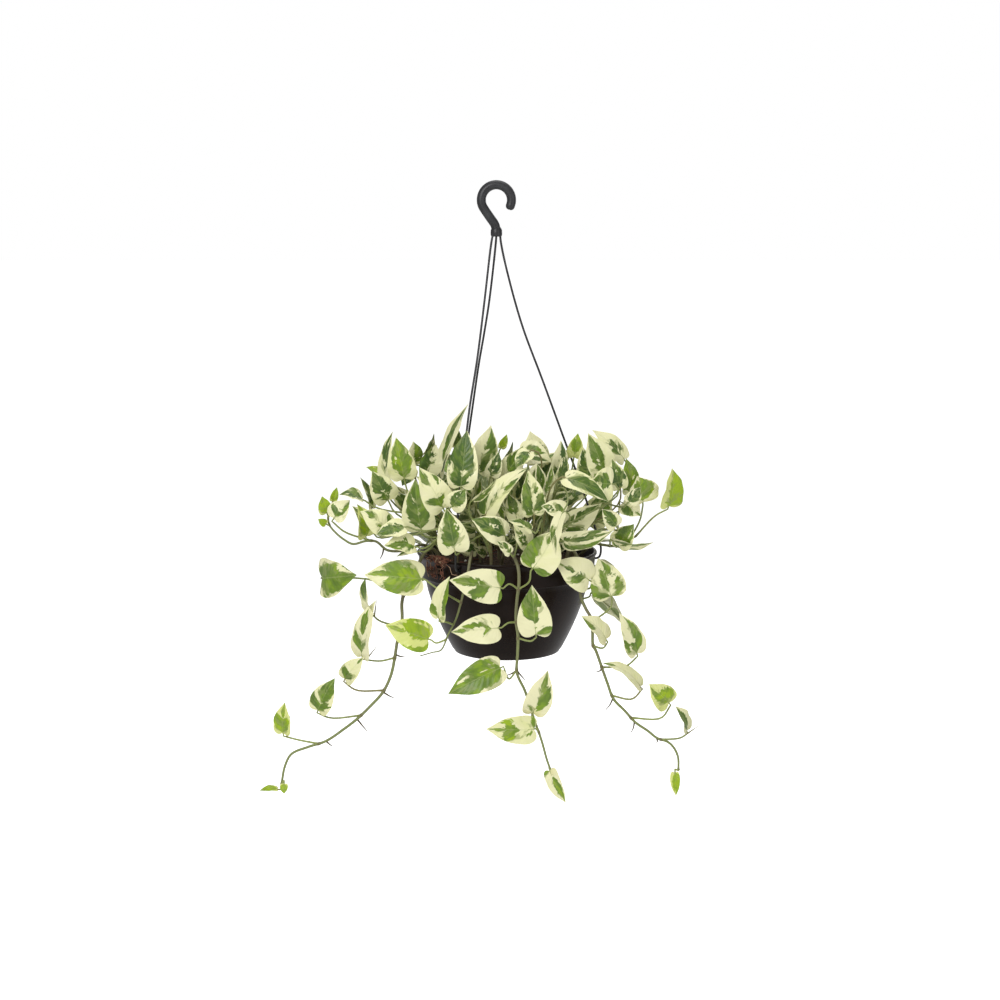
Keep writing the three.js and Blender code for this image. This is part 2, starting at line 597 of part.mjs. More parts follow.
// The crown's leaves in the front view, as the trailing stems' leaves are given
const crownLeaves = [
  [469, 403, 440, 473, 26, -8, 31, -60, 0.05],
  [467, 430, 461, 486, 78, -8, 33, 0, 0.06],
  [491, 425, 478, 472, 42, 2, 33, 16, 0.06],
  [396, 437, 404, 478, 58, 6, 31, 0, 0.08],
  [393, 431, 386, 482, 30, -4, 24, -52, 0.08],
  [413, 441, 414, 464, 44, 4, 24, 46, 0.04],
  [434, 433, 424, 454, 14, 0, 20, 72, 0.08],
  [436, 444, 428, 472, 38, 2, 26, 20, 0.06],
  [419, 467, 443, 508, 84, 4, 33, 6, 0.1],
  [415, 479, 421, 529, 88, 8, 36, -8, 0.1],
  [446, 508, 455, 551, 98, 8, 34, 4, 0.08],
  [466, 489, 451, 507, 86, 2, 24, 8, 0.08],
  [434, 505, 438, 528, 80, 2, 18, 30, 0.06],
  [372, 471, 388, 500, 54, 4, 30, 8, 0.08],
  [366, 467, 384, 474, 40, 2, 12, 30, 0.06],
  [360, 477, 372, 508, 40, 2, 18, 64, 0.06],
  [339, 495, 362, 499, 66, 4, 22, 58, 0.16],
  [360, 511, 389, 529, 74, 4, 28, 16, 0.1],
  [376, 535, 404, 527, 76, 6, 22, 30, 0.08],
  [384, 546, 414, 546, 86, 6, 27, 40, 0.12],
  [397, 523, 428, 538, 96, 4, 18, 58, 0.1],
  [431, 557, 434, 530, 74, 8, 24, 8, 0.1],
  [396, 557, 416, 551, 92, 2, 12, 60, 0.06],
  [528, 468, 486, 514, 88, -8, 28, -34, 0.16],
  [471, 519, 505, 536, 100, 8, 29, 16, 0.08],
  [497, 541, 510, 553, 94, 2, 14, 30, 0.06],
  [504, 524, 491, 498, 74, 12, 20, -20, 0.1],
  [513, 524, 528, 546, 86, 6, 22, 10, 0.06],
  [508, 493, 517, 519, 72, 6, 20, 6, 0.06],
  [508, 521, 531, 530, 80, 4, 16, 50, 0.08],
  [528, 470, 534, 514, 80, 4, 27, 10, 0.08],
  [523, 446, 504, 477, 38, 2, 26, 12, 0.08],
  [513, 441, 497, 474, 22, 0, 20, 62, 0.06],
  [499, 452, 491, 476, 34, 2, 18, 10, 0.06],
  [507, 434, 501, 448, 0, 0, 10, 20, 0.04],
  [530, 431, 538, 462, 8, 0, 29, 0, 0.06],
  [552, 462, 520, 451, 46, 6, 30, -26, 0.1],
  [516, 468, 529, 452, 56, 6, 20, 30, 0.1],
  [537, 463, 541, 500, 62, 0, 20, 30, 0.06],
  [551, 466, 546, 494, 66, 0, 16, 40, 0.06],
  [561, 440, 556, 478, 30, 0, 22, 24, 0.06],
  [566, 456, 559, 480, 40, 0, 16, 30, 0.06],
  [578, 433, 574, 457, 14, 2, 18, 0, 0.06],
  [583, 447, 589, 480, 26, 2, 24, 0, 0.06],
  [588, 433, 604, 473, 48, 4, 32, 12, 0.08],
  [592, 430, 624, 459, 20, 0, 26, 34, 0.08],
  [612, 459, 620, 488, 52, 2, 21, 0, 0.08],
  [626, 458, 630, 492, 38, 2, 24, 30, 0.08],
  [590, 483, 612, 484, 72, 4, 36, 0, 0.06],
  [609, 502, 566, 478, 80, 4, 24, -30, 0.12],
  [592, 504, 549, 490, 74, 6, 20, -52, 0.16],
  [541, 506, 565, 512, 90, 4, 22, 20, 0.08],
  [545, 532, 552, 503, 80, 12, 24, 6, 0.06],
  [602, 503, 564, 529, 98, 6, 28, 10, 0.1],
  [613, 531, 564, 541, 100, 6, 24, 24, 0.1],
  [620, 548, 572, 546, 88, 4, 20, 54, 0.1],
  [602, 509, 616, 526, 72, 4, 20, 10, 0.06],
  [640, 487, 629, 502, 54, 2, 18, 20, 0.06],
  [556, 556, 562, 514, 104, 4, 18, 48, 0.1],
  [402, 486, 412, 468, 34, 4, 18, 0, 0.06],
  [448, 476, 436, 500, 58, 0, 16, 40, 0.06],
  [398, 505, 393, 524, 72, 2, 16, 40, 0.06],
  [459, 430, 455, 447, 22, 0, 12, 20, 0.06],
  [480, 476, 470, 506, 66, 0, 18, 54, 0.08],
  [497, 478, 474, 500, 78, 0, 14, 60, 0.08],
  [388, 484, 412, 514, 22, 4, 26, 30, 0.08],
  [612, 490, 590, 524, 8, 2, 34, -10, 0.08],
  [352, 506, 372, 530, 44, 2, 22, 40, 0.1],
];

// The crown's shoots root in three rings, with fewer at the front, where the soil shows
const shootRings = [
  { radius: 76, angles: [-135, -103, -62, -15, 20, 60, 100, 140, 178] },
  { radius: 46, angles: [-70, -20, 30, 80, 130, 180, -130] },
  { radius: 18, angles: [0, 120, 240] },
];
const shootHeight = 46;
const jointsOnShoot = 11;
const shootRadius = 1.7;

// Short stems that hang at the back: the angle each one leaves the pot at, and how far it drops
const backVines = [
  { name: "back_vine_1", angle: 38, drop: 88 },
  { name: "back_vine_2", angle: 82, drop: 66 },
  { name: "back_vine_3", angle: 128, drop: 96 },
];

const plants = [];
const roots = [];

function addPlant(name, colour) {
  const plant = { name, colour, owner: plants.length, solids: [], leaves: 0 };
  plants.push(plant);
  return plant;
}

// A stem stands straight in the soil and then follows the given points
function addStem(plant, root, points, steps, radii, sides) {
  const [x, y] = root;
  const ground = soilHeight(x, y);
  const start = new THREE.Vector3(x, y, ground + 4);
  const curve = new THREE.CatmullRomCurve3([start, ...points], false, "centripetal");
  plant.route = curve.getPoints(steps);
  const buried = new THREE.Vector3(x, y, ground - soil.rootDepth);
  plant.solids.push(tube([buried, ...plant.route], ...radii, sides));
  roots.push([x, y, radii[0]]);
  fillCells(stalkCells, lineSamples(plant.route, 0), plant.owner, 2);
}

function keepLeaf(plant, blade, way) {
  const line = [...way, stalkEnd(blade), blade.base];
  plant.solids.push(stalkedBlade(blade, way));
  plant.leaves += 1;
  fillCells(bladeCells, bladeSamples(blade), plant.owner);
  fillCells(stalkCells, lineSamples(line, 0), plant.owner);
}

// The stalk of a leaf on a trailing stem, by its elbow
function elbowWay(plant, row, blade) {
  const [jointAcross, jointDown, elbowAcross, elbowDown] = row.slice(9);
  let joint = plant.route[0];
  let best = Infinity;
  for (const place of plant.route) {
    const distance = seen(jointAcross, jointDown, -place.y).distanceTo(place);
    if (distance < best) {
      best = distance;
      joint = place;
    }
  }
  const elbow = seen(elbowAcross, elbowDown, -(joint.y + 2 * blade.base.y) / 3);
  return [joint, new THREE.CatmullRomCurve3([joint, elbow, stalkEnd(blade)]).getPoint(0.5)];
}

// The stalk of a crown leaf: up and outward from the shoot, then over to the blade
function archedWay(joint, blade, lift) {
  const end = stalkEnd(blade);
  const reach = joint.distanceTo(end);
  const leaving = new THREE.Vector3(end.x - joint.x, end.y - joint.y, 0).multiplyScalar(0.35 / (reach + 1));
  leaving.z = 1;
  const arriving = blade.axis.clone().multiplyScalar(0.7);
  arriving.z += 0.6;
  arriving.normalize();
  const first = joint.clone().addScaledVector(leaving, reach * (0.38 + lift));
  const second = end.clone().addScaledVector(arriving, -reach * (0.3 - 0.5 * lift));
  const curve = new THREE.CubicBezierCurve3(joint, first, second, end);
  return [0, 0.55].map((share) => curve.getPoint(share));
}

function growTrailing(draw) {
  for (const [name, { root, route, radii, leaves }] of Object.entries(trailing)) {
    const plant = addPlant(name, colours.vine);
    const points = route.map((point) => seen(...point));
    addStem(plant, root, points, Math.round(1.1 * route.length), radii, 4);
    for (const row of leaves) {
      const blade = seenBlade(row, 0, 0, draw());
      keepLeaf(plant, blade, elbowWay(plant, row, blade));
    }
  }
}

function growShoots() {
  const shoots = [];
  shootRings.forEach(({ radius, angles }) => {
    for (const angle of angles) {
      const out = new THREE.Vector3(Math.cos(angle * degree), Math.sin(angle * degree), 0);
      const root = out.clone().multiplyScalar(radius);
      const plant = addPlant(`crown_shoot_${shoots.length + 1}`, colours.crown);
      const ground = soilHeight(root.x, root.y);
      const bend = root.clone().addScaledVector(out, 2).setZ(ground + 0.5 * shootHeight);
      const top = root.clone().addScaledVector(out, 0.1 * radius).setZ(ground + shootHeight);
      addStem(plant, [root.x, root.y], [bend, top], 3, [shootRadius, shootRadius * 0.7], 4);
      plant.joints = new THREE.CatmullRomCurve3(plant.route).getPoints(jointsOnShoot).slice(2);
      shoots.push(plant);
    }
  });
  return shoots;
}

// The shoots that could carry a blade, the nearest first
function shootsFor(shoots, blade) {
  const cost = (plant) => {
    const foot = plant.route[0];
    const [x, y] = [foot.x - 0.62 * blade.base.x, foot.y - 0.62 * blade.base.y];
    return Math.round(1000 * (Math.sqrt(x * x + y * y) + 5 * Math.max(0, plant.leaves - 5)));
  };
  return [...shoots].sort((a, b) => cost(a) - cost(b)).slice(0, 4);
}

// A blade is tried on the nearest shoots, with its stalk low and high, and kept where it is clear
function tryBlade(shoots, blade) {
  if (!isClear(bladeSamples(blade))) {
    return false;
  }
  for (const plant of shootsFor(shoots, blade)) {
    for (const joint of plant.joints) {
      for (const lift of [0, 0.12, -0.12, 0.25]) {
        const way = archedWay(joint, blade, lift);
        const line = [...way, stalkEnd(blade), blade.base];
        if (isClear(lineSamples(line, 5), plant.owner)) {
          keepLeaf(plant, blade, way);
          plant.joints = plant.joints.filter((other) => other !== joint);
          return true;
        }
      }
    }
  }
  return false;
}

const shifts = [0, 5, -5, 10, -10, 15, -15, 20, -20, 26, -26, 32, -32, 40, -40, 50, -50];
const swivels = [0, 20, -20];

function growCrown(shoots, draw) {
  for (const row of crownLeaves) {
    const phase = draw();
    const fits = (swivel, shift) => tryBlade(shoots, seenBlade(row, shift, swivel, phase));
    swivels.some((swivel) => shifts.some((shift) => fits(swivel, shift)));
  }
}

// Leaves round the sides and the back, and deeper in the crown, by a seeded rule
const fill = {
  tries: 1500,
  most: 57,
  goldenAngle: 137.508,
  middleHeight: 24, // above the rim
  reach: [60, 86], // from that middle to a leaf's stalk end, above and at the sides
  length: [38, 60],
  frontLimit: -28, // leaves in front of this are those of the front view
  innerLimit: -58, // but inner ones may stand behind them
  topLimit: 116, // of a tip, as the front view sees it
};

// Small turns and moves that such a leaf is tried with: sideways and up, in degrees and millimetres
const turns = [0, 14, -14].flatMap((swing) => [0, 12, -12].map((dip) => [swing, dip]));
const moves = [0, 8, -8].flatMap((up) => [0, 9, -9].flatMap((aside) => moveOutward(up, aside)));

function moveOutward(up, aside) {
  return [0, 7, -7].map((out) => [out, up, aside]);
}

// How the leaf of the given number may stand: a function of a turn and a move
function fillBlade(index, draw) {
  const azimuth = (index * fill.goldenAngle + 10 * draw()) * degree;
  const climb = (-12 + 98 * draw() ** 1.4) * degree;
  const inner = index % 3 === 2;
  const outermost = fill.reach[1] + (fill.reach[0] - fill.reach[1]) * Math.sin(climb);
  const reach = outermost * (inner ? 0.58 : 0.9 + 0.16 * draw());
  const length = fill.length[0] + (fill.length[1] - fill.length[0]) * draw();
  const width = length * (0.5 + 0.14 * draw());
  const arch = 0.08 + 0.06 * draw();
  const phase = draw();
  const level = new THREE.Vector3(Math.cos(azimuth), Math.sin(azimuth), 0);
  const aside = new THREE.Vector3(-level.y, level.x, 0);
  const out = level.clone().multiplyScalar(Math.cos(climb)).setZ(Math.sin(climb));
  const rise = 0.7 * climb + (inner ? 26 : 8 + 30 * (draw() - 0.5)) * degree;
  const face = level.clone().multiplyScalar(0.7).addScaledVector(aside, 0.6 * (draw() - 0.5)).setZ(1);
  return ([swing, dip], [outward, upward, sideward]) => {
    const base = out.clone().multiplyScalar(reach + outward).addScaledVector(aside, sideward);
    base.z += fill.middleHeight + upward;
    const axis = level.clone().multiplyScalar(Math.cos(swing * degree));
    axis.addScaledVector(aside, Math.sin(swing * degree));
    axis.multiplyScalar(Math.cos(rise + dip * degree)).setZ(Math.sin(rise + dip * degree));
    const tip = base.clone().addScaledVector(axis, length);
    return makeBlade(base, tip, face, width, arch, 0.16, 0.045, phase);
  };
}

// Whether a blade stays behind the front view's leaves and under its outline
function inBounds(blade, limit) {
  const highest = blade.tip.z + 0.14 * blade.tip.y;
  return Math.min(blade.base.y, blade.tip.y) > limit && highest < fill.topLimit;
}

function growFill(shoots, draw) {
  let grown = 0;
  for (let index = 0; index < fill.tries && grown < fill.most; index += 1) {
    const bladeAt = fillBlade(index, draw);
    const limit = index % 3 === 2 ? fill.innerLimit : fill.frontLimit;
    const fits = (turn, move) => {
      const blade = bladeAt(turn, move);
      return inBounds(blade, limit) && tryBlade(shoots, blade);
    };
    if (turns.some((turn) => moves.some((move) => fits(turn, move)))) {
      grown += 1;
    }
  }
}

function growBackVines(draw) {
  for (const { name, angle, drop } of backVines) {
    const plant = addPlant(name, colours.vine);
    const polar = (radius, z, turn) => {
      const towards = (angle + turn) * degree;
      return new THREE.Vector3(radius * Math.cos(towards), radius * Math.sin(towards), z);
    };
    const points = [polar(93, 9, 0), polar(103, 7, 1), polar(110, -6, 2)];
    for (let z = -26; z > -drop; z -= 22) {
      points.push(polar(112 - 0.06 * z, z, 2 + 3 * Math.sin(z / 20)));
    }
    const root = polar(80, 0, 0);
    addStem(plant, [root.x, root.y], points, 2 * points.length, [1.9, 1.1], 4);
    const joints = plant.route.length - 1;
    for (let i = 0; i < Math.floor(drop / 15); i += 1) {
      const joint = plant.route[Math.round(joints - i * (joints / (drop / 11)))];
      const hand = i % 2 ? 1 : -1;
      const out = new THREE.Vector3(Math.cos(angle * degree), Math.sin(angle * degree), 0);
      const aside = new THREE.Vector3(-out.y, out.x, 0).multiplyScalar(hand);
      const base = joint.clone().addScaledVector(aside, 11).addScaledVector(out, 8);
      base.z += 4 + 8 * draw();
      const length = 42 + 12 * draw();
      const axis = aside.clone().multiplyScalar(0.75).addScaledVector(out, 0.25);
      axis.z = -0.35 - 0.5 * draw();
      const tip = base.clone().addScaledVector(axis.normalize(), length);
      const blade = makeBlade(base, tip, out.clone().setZ(0.35), 0.62 * length, 0.07, 0.16, 0.045, draw());
      const elbow = joint.clone().lerp(blade.base, 0.5).addScaledVector(out, 2);
      const way = [joint, elbow];
      const line = [...way, stalkEnd(blade), blade.base];
      if (isClear(bladeSamples(blade)) && isClear(lineSamples(line, 5), plant.owner)) {
        keepLeaf(plant, blade, way);
      }
    }
  }
}

// The pot and the hanger take up room too
function reserveHolder() {
  const holder = [];
  for (let turn = 0; turn < 360; turn += 2) {
    const out = new THREE.Vector3(Math.cos(turn * degree), Math.sin(turn * degree), 0);
    for (let z = -pot.height; z <= 0; z += 3.4) {
      const radius = z > -pot.collarHeight ? pot.rimRadius - 1.5 : bodyRadius(z);
      holder.push(out.clone().multiplyScalar(radius).setZ(z));
    }
    for (let radius = 0; radius < pot.neckRadius; radius += 3.4) {
      const place = out.clone().multiplyScalar(radius);
      holder.push(place.setZ(soilHeight(place.x, place.y) - 3));
    }
  }
  for (const route of strandRoutes) {
    holder.push(...lineSamples(route, 0));
  }
  fillCells(bladeCells, holder, "holder");
}

const draw = makeDraw(2027);
reserveHolder();
growTrailing(draw);
const shoots = growShoots();
growBackVines(draw);
growCrown(shoots, draw);
growFill(shoots, draw);

const [hookX, hookZ] = hanger.hookCentre;
const laidOut = new THREE.Group();
laidOut.position.set(-hookX, 0, -(hookZ + hanger.hookRadius - hanger.rodRadius));

function addMesh(name, solid, colour, roughness) {
  const mesh = new THREE.Mesh(geometryOf(solid), material(colour, roughness));
  mesh.name = name;
  laidOut.add(mesh);
}

addMesh("pot", makePot(), colours.pot, 0.42);
addMesh("hook", makeHook(), colours.hanger, 0.45);
addMesh("strands", makeStrands(), colours.hanger, 0.45);
addMesh("soil", makeSoil(roots), colours.soil, 0.95);
for (const plant of plants) {
  if (plant.leaves) {
    addMesh(plant.name, joined(plant.solids), plant.colour, 0.5);
  }
}

const hangingPlant = new THREE.Group();
hangingPlant.add(laidOut);
export default hangingPlant;
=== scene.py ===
import math

import bmesh
import bpy
from mathutils import Matrix, Vector, noise


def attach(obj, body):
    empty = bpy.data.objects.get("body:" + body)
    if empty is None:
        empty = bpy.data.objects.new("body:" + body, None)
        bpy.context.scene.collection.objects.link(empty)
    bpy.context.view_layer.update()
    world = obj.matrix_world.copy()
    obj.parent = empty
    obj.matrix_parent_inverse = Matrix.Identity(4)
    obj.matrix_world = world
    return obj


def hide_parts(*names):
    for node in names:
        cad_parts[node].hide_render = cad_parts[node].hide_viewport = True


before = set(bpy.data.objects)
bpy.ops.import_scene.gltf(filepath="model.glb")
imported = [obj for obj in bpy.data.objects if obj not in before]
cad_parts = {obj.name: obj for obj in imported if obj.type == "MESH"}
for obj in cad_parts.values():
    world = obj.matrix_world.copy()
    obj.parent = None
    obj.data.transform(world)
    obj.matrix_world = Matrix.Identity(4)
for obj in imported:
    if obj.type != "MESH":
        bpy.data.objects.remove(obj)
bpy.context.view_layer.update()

degree = math.pi / 180
mm = 0.001
print("frame loaded")

# The plant is laid out in millimetres: the rim is z = 0, the pot's axis x = y = 0, the front -y
# (+z is up). rowOrigin takes it to the frame, whose origin is the hook's inner top.
# Places are plain tuples while the leaves look for room, so that sums keep their full precision.
hook = {
    "centre": (-11.7, 385.6),  # x and z of its round
    "radius": 16.4,  # to the middle of the rod
    "rodRadius": 5.0,
}
rowOrigin = Vector((-hook["centre"][0], 0, -(hook["centre"][1] + hook["radius"] - hook["rodRadius"])))


def plus(a, b, share=1.0):
    return (a[0] + b[0] * share, a[1] + b[1] * share, a[2] + b[2] * share)


def minus(a, b):
    return (a[0] - b[0], a[1] - b[1], a[2] - b[2])


def scaled(a, share):
    return (a[0] * share, a[1] * share, a[2] * share)


def dot(a, b):
    return a[0] * b[0] + a[1] * b[1] + a[2] * b[2]


def cross(a, b):
    return (a[1] * b[2] - a[2] * b[1], a[2] * b[0] - a[0] * b[2], a[0] * b[1] - a[1] * b[0])


def lengthOf(a):
    return math.sqrt(dot(a, a))


def unit(a):
    return scaled(a, 1 / (lengthOf(a) or 1))


def between(a, b, share):
    return plus(a, minus(b, a), share)


def catmullRom(points, share):
    # A centripetal curve through the points
    last = len(points) - 1
    place = last * share
    index = min(math.floor(place), last - 1)
    weight = place - index
    p1, p2 = points[index], points[index + 1]
    p0 = points[index - 1] if index else plus(minus(p1, p2), p1)
    p3 = points[index + 2] if index + 2 <= last else plus(minus(p2, p1), p2)
    gaps = [dot(minus(b, a), minus(b, a)) ** 0.25 for a, b in ((p0, p1), (p1, p2), (p2, p3))]
    middle = gaps[1] if gaps[1] >= 1e-4 else 1.0
    before = gaps[0] if gaps[0] >= 1e-4 else middle
    after = gaps[2] if gaps[2] >= 1e-4 else middle
    result = []
    for x0, x1, x2, x3 in zip(p0, p1, p2, p3):
        t1 = ((x1 - x0) / before - (x2 - x0) / (before + middle) + (x2 - x1) / middle) * middle
        t2 = ((x2 - x1) / middle - (x3 - x1) / (middle + after) + (x3 - x2) / after) * middle
        c2 = -3 * x1 + 3 * x2 - 2 * t1 - t2
        c3 = 2 * x1 - 2 * x2 + t1 + t2
        result.append(x1 + t1 * weight + c2 * weight**2 + c3 * weight**3)
    return tuple(result)


def curvePoints(points, steps):
    return [catmullRom(points, i / steps) for i in range(steps + 1)]


def within(limits, share):
    low, high = limits
    return low + (high - low) * share


def bezier(points, t):
    s = 1 - t
    shares = (s * s * s, 3 * s * s * t, 3 * s * t * t, t * t * t)
    return tuple(sum(w * p[i] for w, p in zip(shares, points)) for i in range(3))


# What the camera sees, which the plants are laid out by: across and down in thousandths of the view
view = {
    "distance": 2200,  # from the eye to the pot's axis
    "tilt": 8 * degree,  # how far the eye looks down
    "unit": 1.11,  # millimetres in a thousandth of the view at the pot's axis
    "middle": (-7.8, 0, 56.3),  # what the middle of the view looks at
}
forward = (0, math.cos(view["tilt"]), -math.sin(view["tilt"]))
upward = (0, math.sin(view["tilt"]), math.cos(view["tilt"]))
eye = plus(view["middle"], forward, -view["distance"])


def seen(across, down, near):
    # The point of the view that stands the given millimetres in front of the pot's axis
    ray = scaled(forward, view["distance"])
    ray = (ray[0] + (across - 500) * view["unit"], ray[1], ray[2])
    ray = plus(ray, upward, (500 - down) * view["unit"])
    return plus(eye, ray, (-near - eye[1]) / ray[1])


# Meshes
def meshOf(name, bm):
    mesh = bpy.data.meshes.new(name)
    bm.to_mesh(mesh)
    bm.free()
    return mesh


def placed(name, data):
    # A new object of the scene
    made = bpy.data.objects.new(name, data)
    bpy.context.collection.objects.link(made)
    return made


def newPiece(name, bm, materials, nodes):
    # A finished piece, placed in the frame, that stands for the solids of the given nodes
    for vert in bm.verts:
        vert.co = (vert.co + rowOrigin) * mm
    piece = placed(name, meshOf(name, bm))
    for finish in materials:
        piece.data.materials.append(finish)
    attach(piece, "root")
    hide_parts(*nodes)
    return piece


def ringFrame(place, tangent, normal, radius):
    side = tangent.cross(normal)
    turn = Matrix((normal, side, tangent)).transposed().to_4x4()
    return Matrix.Translation(place) @ turn @ Matrix.Scale(radius, 4)


def sweep(bm, route, radii, sides, finish=0, marks=None):
    # A round rod along the route, closed at both ends, with a radius for each point
    route = [Vector(place) for place in route]
    normal = Vector((0.31, -0.95, 0.04))
    made = bmesh.ops.create_circle(bm, cap_ends=True, segments=sides, radius=1)
    verts = made["verts"]
    cap = verts[0].link_faces[0]
    faces = {cap}
    edges = list(cap.edges)
    old = Matrix()
    for i, place in enumerate(route):
        ahead = route[min(i + 1, len(route) - 1)]
        tangent = (ahead - route[max(i - 1, 0)]).normalized()
        normal = (normal - tangent * normal.dot(tangent)).normalized()
        if i:
            grown = bmesh.ops.extrude_edge_only(bm, edges=edges)["geom"]
            verts = [part for part in grown if isinstance(part, bmesh.types.BMVert)]
            edges = [part for part in grown if isinstance(part, bmesh.types.BMEdge)]
            edges = [edge for edge in edges if all(vert in verts for vert in edge.verts)]
            faces.update(part for part in grown if isinstance(part, bmesh.types.BMFace))
        new = ringFrame(place, tangent, normal, radii[i])
        bmesh.ops.transform(bm, matrix=new @ old.inverted(), verts=verts)
        old = new
        if marks:
            for name, value in zip(("spot", "look"), marks[i]):
                for vert in verts:
                    vert[bm.verts.layers.float_vector[name]] = value
    faces.update(bmesh.ops.holes_fill(bm, edges=edges, sides=0)["faces"])
    for face in faces:
        face.material_index = finish
        face.smooth = True
    return faces


def spun(bm, profile, steps):
    # The profile (radius, height) turned round the pot's axis
    verts = [bm.verts.new((radius, 0, height)) for radius, height in profile]
    edges = [bm.edges.new(pair) for pair in zip(verts, verts[1:])]
    bmesh.ops.spin(bm, geom=verts + edges, cent=(0, 0, 0), axis=(0, 0, 1), angle=2 * math.pi,
                   steps=steps, use_merge=True)
    bmesh.ops.remove_doubles(bm, verts=bm.verts, dist=1e-4)
    bmesh.ops.recalc_face_normals(bm, faces=bm.faces)
    for face in bm.faces:
        face.smooth = True


# Materials
def linear(red, green, blue):
    # A colour of a screen's 256 steps as light
    shares = [value / 255 for value in (red, green, blue)]
    return (*[v / 12.92 if v <= 0.04045 else ((v + 0.055) / 1.055) ** 2.4 for v in shares], 1)


class Wire:
    # A socket in a material; sums, products and so on of wires add Math nodes
    def __init__(self, tree, socket=None):
        self.tree = tree
        self.socket = socket

    def node(self, kind, settings, inputs, output=0):
        made = self.tree.nodes.new(kind)
        for name, value in settings.items():
            if name == "stops":
                while len(made.color_ramp.elements) < len(value):
                    made.color_ramp.elements.new(0.5)
                for element, (place, colour) in zip(made.color_ramp.elements, value):
                    element.position = place
                    element.color = colour
            else:
                setattr(made, name, value)
        for name, value in inputs.items():
            if isinstance(value, Wire):
                self.tree.links.new(value.socket, made.inputs[name])
            else:
                made.inputs[name].default_value = value
        return Wire(self.tree, made.outputs[output])

    def sum(self, operation, *values):
        return self.node("ShaderNodeMath", {"operation": operation}, dict(enumerate(values)))

    def __add__(self, other):
        return self.sum("ADD", self, other)

    def __sub__(self, other):
        return self.sum("SUBTRACT", self, other)

    def __mul__(self, other):
        return self.sum("MULTIPLY", self, other)

    def __pow__(self, other):
        return self.sum("POWER", self, other)

    def __abs__(self):
        return self.sum("ABSOLUTE", self)

    __radd__ = __add__
    __rmul__ = __mul__

    def sine(self):
        return self.sum("SINE", self)

    def step(self, low, high):
        # 0 below the low value and 1 above the high one, with a soft edge between them
        return self.node("ShaderNodeMapRange", {"interpolation_type": "SMOOTHSTEP"},
                         {"Value": self, "From Min": low, "From Max": high})

    def mix(self, first, second):
        # The first colour where this is 0, the second where it is 1
        return self.node("ShaderNodeMix", {"data_type": "RGBA"}, {0: self, 6: first, 7: second}, 2)

    def place(self):
        # The object's own coordinates
        return self.node("ShaderNodeTexCoord", {}, {}, 3)

    def attribute(self, name):
        return self.node("ShaderNodeAttribute", {"attribute_name": name}, {}, 1)

    def parts(self):
        return [self.node("ShaderNodeSeparateXYZ", {}, {"Vector": self}, i) for i in range(3)]

    def vector(self, x, y, z):
        return self.node("ShaderNodeCombineXYZ", {}, {"X": x, "Y": y, "Z": z})

    def noise(self, scale, detail=2.0, roughness=0.5, distortion=0.0):
        # Soft clouds about 0, from about -1 to 1
        clouds = self.node("ShaderNodeTexNoise", {}, {"Vector": self, "Scale": scale, "Detail": detail,
                                                      "Roughness": roughness, "Distortion": distortion})
        return (clouds - 0.5) * 3.2

    def bump(self, strength, distance):
        return self.node("ShaderNodeBump", {}, {"Height": self, "Strength": strength, "Distance": distance})


def newMaterial(name, **fixed):
    # A material with the shader's constant values, and the start of its wires
    made = bpy.data.materials.new(name)
    made.use_nodes = True
    shader = made.node_tree.nodes["Principled BSDF"]
    for socket, value in fixed.items():
        shader.inputs[socket.replace("_", " ")].default_value = value
    return made, Wire(made.node_tree)


def feed(made, **wires):
    shader = made.node_tree.nodes["Principled BSDF"]
    for socket, wire in wires.items():
        made.node_tree.links.new(wire.socket, shader.inputs[socket.replace("_", " ")])


def grained(name, roughness, clouds, edges, dark, pale, relief=None):
    # A material of two colours that one noise mixes between the two edges, with its relief if any
    made, start = newMaterial(name, Roughness=roughness)
    grain = start.place().noise(*clouds)
    feed(made, Base_Color=grain.step(*edges).mix(linear(*dark), linear(*pale)))
    if relief:
        feed(made, Normal=grain.bump(*relief))
    return made


# The camera and the studio
studio = {
    "lens": 36 * view["distance"] / (1000 * view["unit"]),
    "floorDrop": 0.86,  # the floor, below the hook
    "ambient": 0.34,
    "backdrop": 1.0,
    "glow": 0.8,  # of the floor as the camera sees it, so that it stays pale far off
    "floorSize": 40,
    "aim": (0, 0, -0.38),  # what each lamp is turned to: the pot
    "lamps": [  # name, place, power and size
        ("key", (-0.9, -1.9, 0.75), 29, 1.1),
        ("fill", (1.5, -1.5, 0.1), 8, 1.6),
        ("top", (0.1, 0.3, 1.5), 13, 1.5),
        ("back", (0.6, 1.9, 0.3), 9, 1.4),
    ],
}


